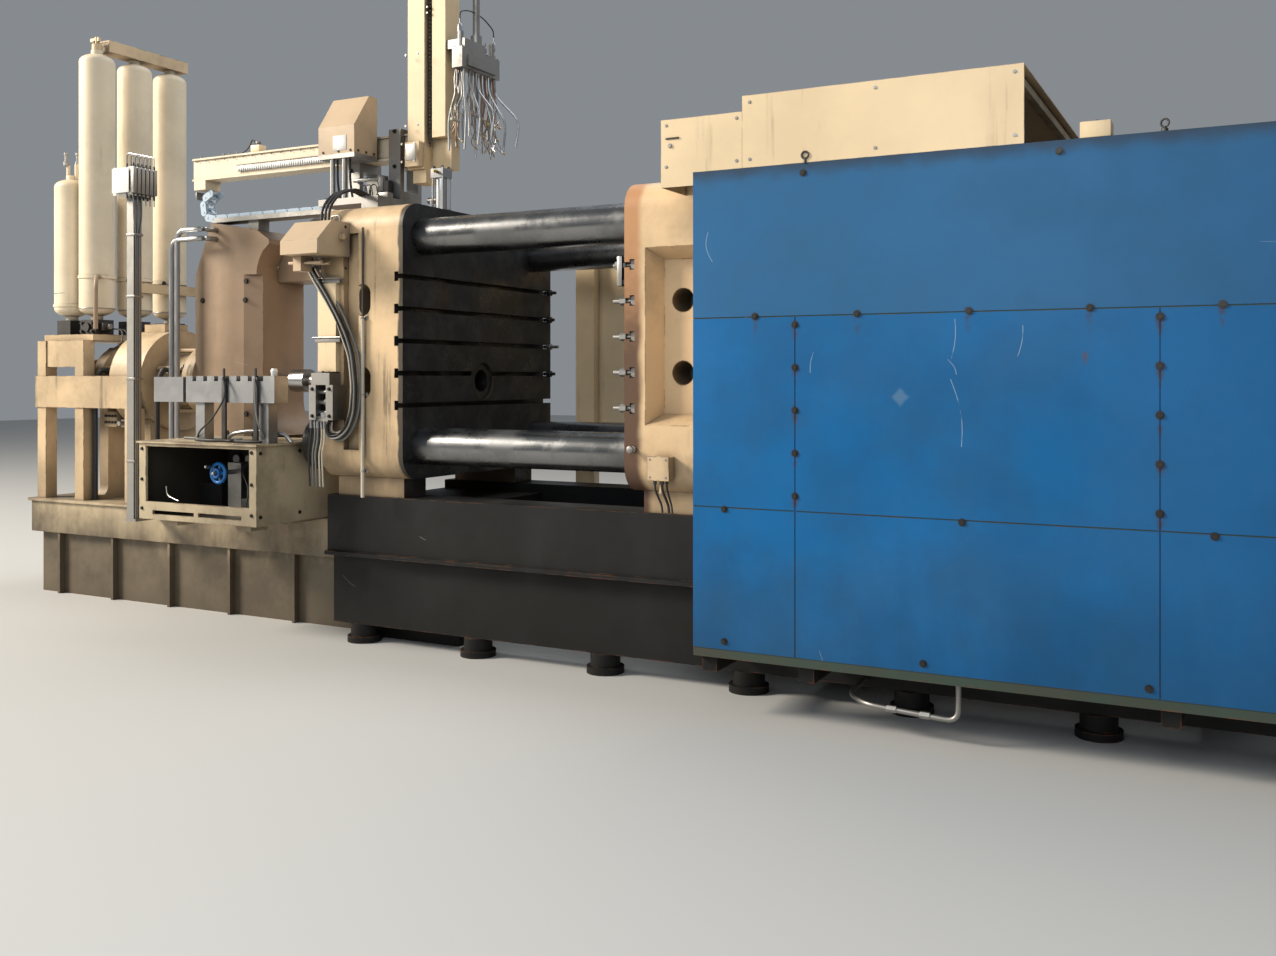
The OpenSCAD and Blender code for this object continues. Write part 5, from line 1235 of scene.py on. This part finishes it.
for z in (1.49, 1.63):
    piece.rod((unit_low[0] - 0.03, -0.935, z), (unit_low[0] + 0.002, -0.935, z), 0.015, "bright_steel", 6)
piece.turned((-0.555, -0.935, unit_bottom - 0.02), UP, [(0, 0.012), (0.05, 0.034), (0.075, 0.034)],
             "aluminium", 20)
for i in range(5):
    x, y = -0.66 + 0.028 * i, -0.955 + 0.006 * (i % 2)
    piece.upright(x, y, unit_bottom - 0.045, unit_bottom + 0.005, 0.009, "bright_steel", 6)
    piece.pipe([(x, y, unit_bottom - 0.04), (x, y, unit_bottom - 0.10 - 0.01 * i),
                (x - 0.05, y + 0.03, unit_bottom - 0.20), (x - 0.06, -0.90, 1.02)],
               0.0055, random.choice(("rubber", "grey_hose", "cream_hose")), 0.05, 8)
piece.done()
unit_bolts = seats(FRONT, (-0.627, -0.487), unit_low[1], (1.475, 1.645))
unit_bolts += seats(UP, -0.555, (-0.96, -0.90), unit_high[2])
bolts("valve_unit_bolts", unit_bolts, 0.008)

# %% [markdown]
# The spray robot rides on a box beam with a screwed lip, a toothed rack and a scale of small
# plates along its side. These lie almost flush, because the guide's rings run over the beam.
# A small box with a thin hose, and four rods, stand on top near its left end.

# %% Spray beam
beam_low, beam_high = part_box("spray_beam")
beam_y, beam_top = beam_low[1], beam_high[2]
sunk, proud = 0.0011, 0.0003
lip_start, lip_end, lip_z = Vector((-2.48, 0)), Vector((-1.06, 0)), beam_top - 0.026
lip_x = tuple((lip_start + (lip_end - lip_start) * i / 15).x for i in range(16))
screws = seats(FRONT, lip_x, beam_y + sunk, lip_z) + seats(BACK, lip_x, beam_high[1] - sunk, lip_z)
bolts("beam_screws", screws, 0.0055, body="spray_arm", sides=12, washer=1.0, height=0.02)
piece = Piece("beam_fittings", "spray_arm")
teeth, tooth_pitch = 44, 0.0215
for i in range(teeth):
    x = -2.06 + tooth_pitch * i
    piece.box((x, beam_y - proud, 3.252), (x + 0.0165, beam_y + 0.002, 3.292), "aluminium", 0.0001)
piece.box((-2.075, beam_y - proud, 3.298), (-1.06, beam_y + 0.001, 3.304), "dark_steel", 0.0001)
piece.box((-1.970, -0.185, beam_top - 0.001), (-1.882, -0.115, beam_top + 0.062), "cream_cover")
piece.turned((-1.926, -0.150, beam_top + 0.060), UP,
             [(0, 0.012), (0.012, 0.012), (0.016, 0.020), (0.030, 0.020)], "grey_steel", 16)
piece.pipe([(-1.94, -0.150, beam_top + 0.05), (-1.98, -0.150, beam_top + 0.13),
            (-2.02, -0.15, beam_top + 0.05), (-2.12, -0.15, beam_top + 0.005),
            (-2.40, -0.16, beam_top + 0.005)], 0.005, "rubber", 0.06, 8)
for x in (-2.47, -2.24, -2.18, -2.10):
    piece.upright(x, -0.19, beam_top - 0.002, beam_top + 0.026, 0.007, "grey_steel", 8)
piece.box((-2.524, -0.20, beam_low[2] - 0.068), (-2.516, -0.10, beam_low[2] - 0.008), "grey_steel")
print("the beam carries", len(lip_x), "screws a side and", len(piece.shapes.faces), "faces of fittings")

# %% [markdown]
# The mast on the beam's end has a lift chain in its slot. The chain is a row of dark link
# plates with a thin rib down its middle, and it belongs to the same piece as the rack.

# %% Mast
mast_low, mast_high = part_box("spray_mast")
slot_x, mast_y = -0.292, mast_low[1]
links, link_pitch = 58, 0.0262
for i in range(links):
    z = mast_low[2] + 0.26 + i * link_pitch
    piece.box((slot_x - 0.009, mast_y + 0.068, z), (slot_x + 0.009, mast_y + 0.076, z + 0.019),
              "dark_steel", 0.001)
piece.box((slot_x - 0.004, mast_y + 0.076, mast_low[2] + 0.24),
          (slot_x + 0.004, mast_y + 0.082, mast_high[2] - 0.04), "dark_steel", 0.001)
for z in (4.18, 4.22):
    piece.rod((slot_x, mast_y + 0.072, z), (slot_x, mast_y + 0.040, z), 0.008, "bright_steel", 8)
piece.box((-0.40, mast_y - 0.052, 3.175), (-0.315, mast_y - 0.044, 3.285), "grey_steel")
piece.rod((-0.35, -0.15, mast_low[2] - 0.115), (-0.26, -0.15, mast_low[2] - 0.115), 0.022, "grey_steel", 14)
piece.done()
mast_bolts = seats(FRONT, (-0.437, -0.337), mast_y, (3.42, 3.9, 4.4, 4.82))
mast_bolts += seats(FRONT, (-0.435, -0.33), mast_y - 0.045, (3.17, 3.29))
bolts("mast_bolts", mast_bolts, 0.007, "grey_steel", "spray_arm", sides=10, washer=1.3, height=0.3)

# %% [markdown]
# The two motor covers are bent sheet with screws along the lower edge. The upper one has a
# blank plate on its front, the lower one a grab handle and a cable gland, and cables run from
# the bracket into both.

# %% Motor covers
upper_low, upper_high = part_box("upper_motor_cover")
lower_low, lower_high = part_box("lower_motor_cover")
handle_left, handle_right = lower_high[0] - 0.12, lower_high[0] - 0.05
handle_foot, handle_top = lower_high[2] - 0.004, lower_high[2] + 0.045
screws = seats(FRONT, (-0.975, -0.84, -0.735), upper_low[1], upper_low[2] + 0.016)
screws += seats(RIGHT, upper_high[0], (-0.46, -0.38, -0.30), upper_low[2] + 0.016)
screws += seats(RIGHT, lower_high[0], -0.905, (lower_low[2] + 0.02, lower_high[2] - 0.03))
screws += seats(FRONT, (lower_low[0] + 0.03, lower_high[0] - 0.03), lower_low[1], lower_low[2] + 0.016)
bolts("motor_cover_screws", screws, 0.007, sides=10, washer=1.3, height=0.3)
piece = Piece("motor_cover_fittings")
piece.box((-0.886, upper_low[1] - 0.003, 3.256), (-0.770, upper_low[1], 3.356), "white_paint", 0.001)
piece.pipe([(handle_left, -0.90, handle_foot), (handle_left, -0.90, handle_top),
            (handle_right, -0.90, handle_top), (handle_right, -0.90, handle_foot)],
           0.006, "grey_steel", 0.02, 8)
piece.turned((lower_high[0] - 0.035, -0.95, 2.60), RIGHT,
             [(0, 0.012), (0.03, 0.012), (0.035, 0.019), (0.06, 0.019)], "cream_paint", 12)
for i in range(3):
    x = -0.64 + 0.03 * i
    piece.pipe([(x, -0.50, 2.935), (x, -0.62, 2.96), (x + 0.01, -0.80, 2.90), (x + 0.012, -0.888, 2.80),
                (x + 0.012, -0.895, 2.702)], 0.009, "rubber", 0.07, 10)
for x in (-0.90, -0.79):
    piece.pipe([(x, -0.44, 3.236), (x, -0.44, 3.05), (x + 0.015, -0.43, 2.936)], 0.008, "rubber", 0.06, 8)
piece.done()

# %% [markdown]
# The guide bracket on the platen carries limit switches, grease fittings and small pipes,
# which show under the beam as a cluster of light and dark bits.

# %% Guide fittings
shelf_z = 2.930
piece = Piece("guide_fittings")
piece.rod((-0.89, -0.285, 3.085), (-0.62, -0.285, 3.085), 0.014, "aluminium", 12)
piece.box((-0.655, -0.31, 2.99), (-0.615, -0.25, 3.10), "grey_steel")
piece.box((-0.60, -0.325, 2.932), (-0.555, -0.275, 3.06), "rubber")
for i, x in enumerate((-0.80, -0.755, -0.71)):
    taller = 0.01 * i
    piece.turned((x, -0.33, shelf_z), UP, [
        (0, 0.013), (0.02, 0.013), (0.024, 0.008), (0.05 + taller, 0.008), (0.056 + taller, 0.004)],
        "bright_steel" if i % 2 else "dark_steel", 8)
    piece.pipe([(x, -0.33, 2.975), (x, -0.33, 3.03), (x + 0.06, -0.34, 3.04), (x + 0.09, -0.35, 2.95)],
               0.004, "rubber", 0.03, 6)
piece.box((-0.58, -0.40, shelf_z), (-0.50, -0.34, 2.965), "grey_steel")
piece.done()
guide_bolts = seats(UP, (-0.985, -0.535), (-0.46, -0.36), shelf_z)
guide_bolts += seats(FRONT, (-0.93, -0.55), -0.265, (3.16, 3.40))
bolts("guide_bolts", guide_bolts, 0.010)

# %% [markdown]
# The spray head is a drilled manifold. Three small valves and a hose stand on top, and the
# bundle of bent copper and steel tubes below is spread and tangled from years of aiming, so
# extra thin tubes wander down among the straight ones. Each takes its place, its bends and
# its metal by chance, and ends in a brass nozzle.

# %% Spray head
head_top = 3.923
tube_levels = (3.70, 3.60, 3.50, 3.40, 3.31)
piece = Piece("spray_fittings", "spray_arm")
small_valves = (  # place in x and y, top and radius
    (-0.052, -0.20, 4.09, 0.016), (-0.035, 0.17, 4.05, 0.014), (-0.055, 0.10, 4.00, 0.010))
for x, y, top, radius in small_valves:
    tall, thin = top - head_top, 0.4 * radius
    piece.turned((x, y, head_top - 0.002), UP, [
        (0, radius), (0.25 * tall, radius), (0.28 * tall, thin), (0.5 * tall, thin), (0.53 * tall, radius),
        (0.92 * tall, radius), (tall, 0.5 * radius)], "aluminium", 14)
    piece.upright(x, y, top - 0.005, top + 0.03, 0.35 * radius, "bright_steel", 8)
piece.pipe([(-0.052, -0.20, 4.10), (-0.052, -0.20, 4.17), (-0.046, -0.10, 4.20), (-0.040, 0.05, 4.19),
            (-0.035, 0.17, 4.13), (-0.035, 0.17, 4.07)], 0.0045, "rubber", 0.06, 8)
piece.box((-0.090, -0.225, 3.80), (-0.087, -0.165, 3.905), "white_paint", 0.001)
tubes = 34
random.seed(23)
for i in range(tubes):
    y, x = random.uniform(-0.215, 0.175), random.uniform(-0.078, -0.014)
    fan = 0.9 * (y + 0.02)
    points = [(x, y, 3.79)]
    for step, z in enumerate(tube_levels):
        grow = (step + 1) / 5
        points.append((x + random.uniform(-0.05, 0.05) * grow,
                       y + fan * grow * 0.45 + random.uniform(-0.035, 0.035) * grow,
                       z + random.uniform(-0.02, 0.02)))
    points = points[:random.randint(4, 6)]
    last = Vector(points[-1])
    aim = Vector((random.choice((-1, 1)) * random.uniform(0.01, 0.05), random.uniform(-0.03, 0.05), -0.03))
    metal = random.choice(("bright_steel", "copper", "grey_steel"))
    piece.pipe(points + [last + aim], 0.0034, metal, 0.04, 6)
    piece.turned(last + aim, aim, [(0, 0.005), (0.016, 0.005), (0.018, 0.003)], "brass", 8)
piece.pipe([(-0.05, -0.21, 3.43), (-0.05, -0.30, 3.43)], 0.011, "cream_hose", 0, 10)
piece.done()
head_bolts = seats(UP, (-0.078, -0.014), (-0.22, -0.08, 0.06, 0.185), head_top)
bolts("head_bolts", head_bolts, 0.006, body="spray_arm")

# %% [markdown]
# The tie bar nuts at both ends are split collars with a ring of cap screws, and bolts close
# the flanges of the clamp cylinder and the link housing. Two thick hoses feed the cylinder.

# %% Clamp end
centre_z, bar = 1.945, 0.66
clamp_end = high("clamp_cylinder")[0]
link_low, link_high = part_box("link_housing")
screws = []
for y in (-bar, bar):
    for z in (centre_z - bar, centre_z + bar):
        screws += [(point, LEFT) for point in circle_yz(-0.85, y, z, 0.145, 8)]
        screws += [(point, RIGHT) for point in circle_yz(5.051, y, z, 0.145, 8)]
bolts("nut_screws", screws, 0.011, sides=12, washer=1.1, height=0.4)
flange = circle_yz(link_high[0] + 0.09, 0, centre_z, 0.346, 16)
bolts("clamp_cylinder_bolts", [(point, RIGHT) for point in flange], 0.020, "dark_steel")
end_plugs = [(point, RIGHT) for point in circle_yz(clamp_end, 0, centre_z, 0.30, 16)]
bolts("clamp_end_plugs", end_plugs, 0.016, sides=16, washer=1.2, height=0.12)
housing_bolts = seats(RIGHT, link_high[0], (-0.45, 0.45), (1.35, 1.75, 2.15, 2.55))
for s in (-1, 1):
    housing_bolts += seats((0, s, 0), (link_low[0] + 0.12, link_high[0] - 0.12), s * link_high[1],
                           (1.3, 1.95, 2.6))
bolts("link_housing_bolts", housing_bolts, 0.024, "dark_steel")
piece = Piece("clamp_end_pipes")
for y in (-0.22, 0.22):
    piece.turned((clamp_end - 0.16, y, centre_z + 0.20), (0, math.copysign(0.6, y), 1),
                 [(0, 0.05), (0.09, 0.05), (0.095, 0.034), (0.16, 0.034)], "dark_steel", 6)
    piece.pipe([(clamp_end - 0.16, y * 1.32, centre_z + 0.33), (clamp_end - 0.16, y * 1.55, centre_z + 0.42),
                (clamp_end - 0.26, y * 1.7, centre_z + 0.44), (clamp_end - 0.40, y * 1.75, centre_z + 0.30),
                (clamp_end - 0.55, y * 1.75, centre_z - 0.20), (link_high[0] + 0.08, y * 1.75, 1.02)],
               0.026, "rubber", 0.12, 14)
piece.done()

# %% [markdown]
# A thin pipe comes out of the main bed's web, runs along the foot of the guards and rises to
# their rail, with two pipe nuts on its level stretch. It is bent from one length, so it is one
# path with rounded corners, and the nuts lie on the path's own slope.

# %% Pipe under the guards
pipe_y, rail_bottom = -1.10, low("guard_rails")[2] + 0.02
piece = Piece("guard_pipe")
piece.pipe([(2.88, -0.69, 0.17), (2.88, pipe_y + 0.12, 0.15), (3.00, pipe_y, 0.142), (3.44, pipe_y, 0.115),
            (3.44, pipe_y, rail_bottom)], 0.013, "grey_steel", 0.06, 14)
for x in (3.10, 3.26):
    z = 0.142 - 0.027 * (x - 3.00) / 0.44
    piece.rod((x, pipe_y, z), (x + 0.05, pipe_y, z - 0.001), 0.018, "grey_steel", 6)
piece.done()

# %% [markdown]
# The moving platen carries a junction box with three glands and cables, four lid screws, and
# a knob below it. The cables lie against the platen's side and end on it, so nothing is
# stretched when it slides, and the whole piece rides with the platen.

# %% Junction box
box_low, box_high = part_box("junction_box")
moving_low = low("moving_platen")
bottom = box_high[2] - 0.132
piece = Piece("junction_cables", "clamp_carriage")
for dx, out, radius in ((0.035, 0.055, 0.006), (0.075, 0.05, 0.0075), (0.095, 0.03, 0.0055)):
    x, y = box_low[0] + dx, moving_low[1] - out
    piece.upright(x, y, bottom - 0.022, bottom + 0.004, 1.7 * radius, "dark_steel", 8)
    piece.pipe([(x, y, bottom), (x, y, bottom - 0.05), (x + 0.02, moving_low[1] - 0.012, bottom - 0.14),
                (x + 0.024, moving_low[1] - 0.012, moving_low[2] + 0.02)], radius, "rubber", 0.04, 8)
for x in (box_low[0] + 0.018, box_high[0] - 0.018):
    for z in (bottom + 0.018, box_high[2] - 0.018):
        piece.rod((x, box_low[1] + 0.002, z), (x, box_low[1] - 0.003, z), 0.006, "grey_steel", 8)
knob = [(0, 0.016), (0.012, 0.016), (0.016, 0.009), (0.034, 0.009), (0.038, 0.020), (0.056, 0.020),
        (0.060, 0.014)]
piece.turned((moving_low[0] + 0.06, moving_low[1] + 0.002, 1.32), FRONT, knob, "grey_steel", 16)
piece.done()

# %% [markdown]
# Hexagon nuts and threaded studs finish the die clamps. Those at the far edge of the fixed
# platen stay with the machine. The clamp plate on the moving platen is a piece of its own,
# because it rides with that platen.

# %% Die clamps
far_y = high("fixed_platen")[1] - 0.045
far_studs = ((2.345, 0.075, "dark_steel"), (2.145, 0.060, "dark_steel"), (1.945, 0.095, "grey_steel"),
             (1.745, 0.065, "dark_steel"))
piece = Piece("far_clamps")
for z, reach, finish in far_studs:
    piece.rod((-0.030, far_y, z), (reach, far_y, z), 0.012, finish, 12)
    piece.rod((0.001, far_y, z), (0.036, far_y, z), 0.026, finish, 6)
piece.done()
face_x = moving_low[0]
piece = Piece("clamp_plate", "clamp_carriage")
piece.box((face_x - 0.052, -0.858, 2.228), (face_x - 0.020, -0.782, 2.396), "grey_steel", 0.006)
piece.rod((face_x - 0.078, -0.820, 2.345), (face_x - 0.050, -0.820, 2.345), 0.026, "grey_steel", 6)
piece.box((face_x - 0.030, -0.850, 2.236), (face_x + 0.002, -0.790, 2.262), "dark_steel", 0.003)
piece.done()

# %% [markdown]
# The core cylinder on top of the fixed platen has four nuts on its tie rods and a brass port,
# and a plug stands beside it. The nuts come from the fastener tree and stand in a grid, and
# the port and the plug are turned parts.

# %% Core cylinder
core_low, core_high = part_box("core_cylinder")
corner_x, corner_y = ((core_low[axis] + 0.016, core_high[axis] - 0.016) for axis in (0, 1))
bolts("core_cylinder_nuts", seats(UP, corner_x, corner_y, core_high[2]), 0.008, "dark_steel")
piece = Piece("platen_top_fittings")
piece.turned((0.5 * (core_low[0] + core_high[0]), core_low[1], core_high[2] - 0.03), FRONT,
             [(0, 0.011), (0.02, 0.011), (0.024, 0.007), (0.04, 0.007)], "brass", 8)
piece.turned((-0.045, -0.52, 2.808), UP, [(0, 0.016), (0.02, 0.016), (0.026, 0.009), (0.05, 0.009)],
             "bright_steel", 8)
piece.done()

# %% [markdown]
# Last, the box of the dressed machine is written beside the frame's own, to see that nothing
# grew past it by more than the height of a bolt head.

# %% Sizes and finish
dressed_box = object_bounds()
for i, axis in enumerate("XYZ"):
    past = max(cad_box[0][i] - dressed_box[0][i], dressed_box[1][i] - cad_box[1][i])
    print("past the frame's own box in", axis, round(1000 * past, 1), "mm")
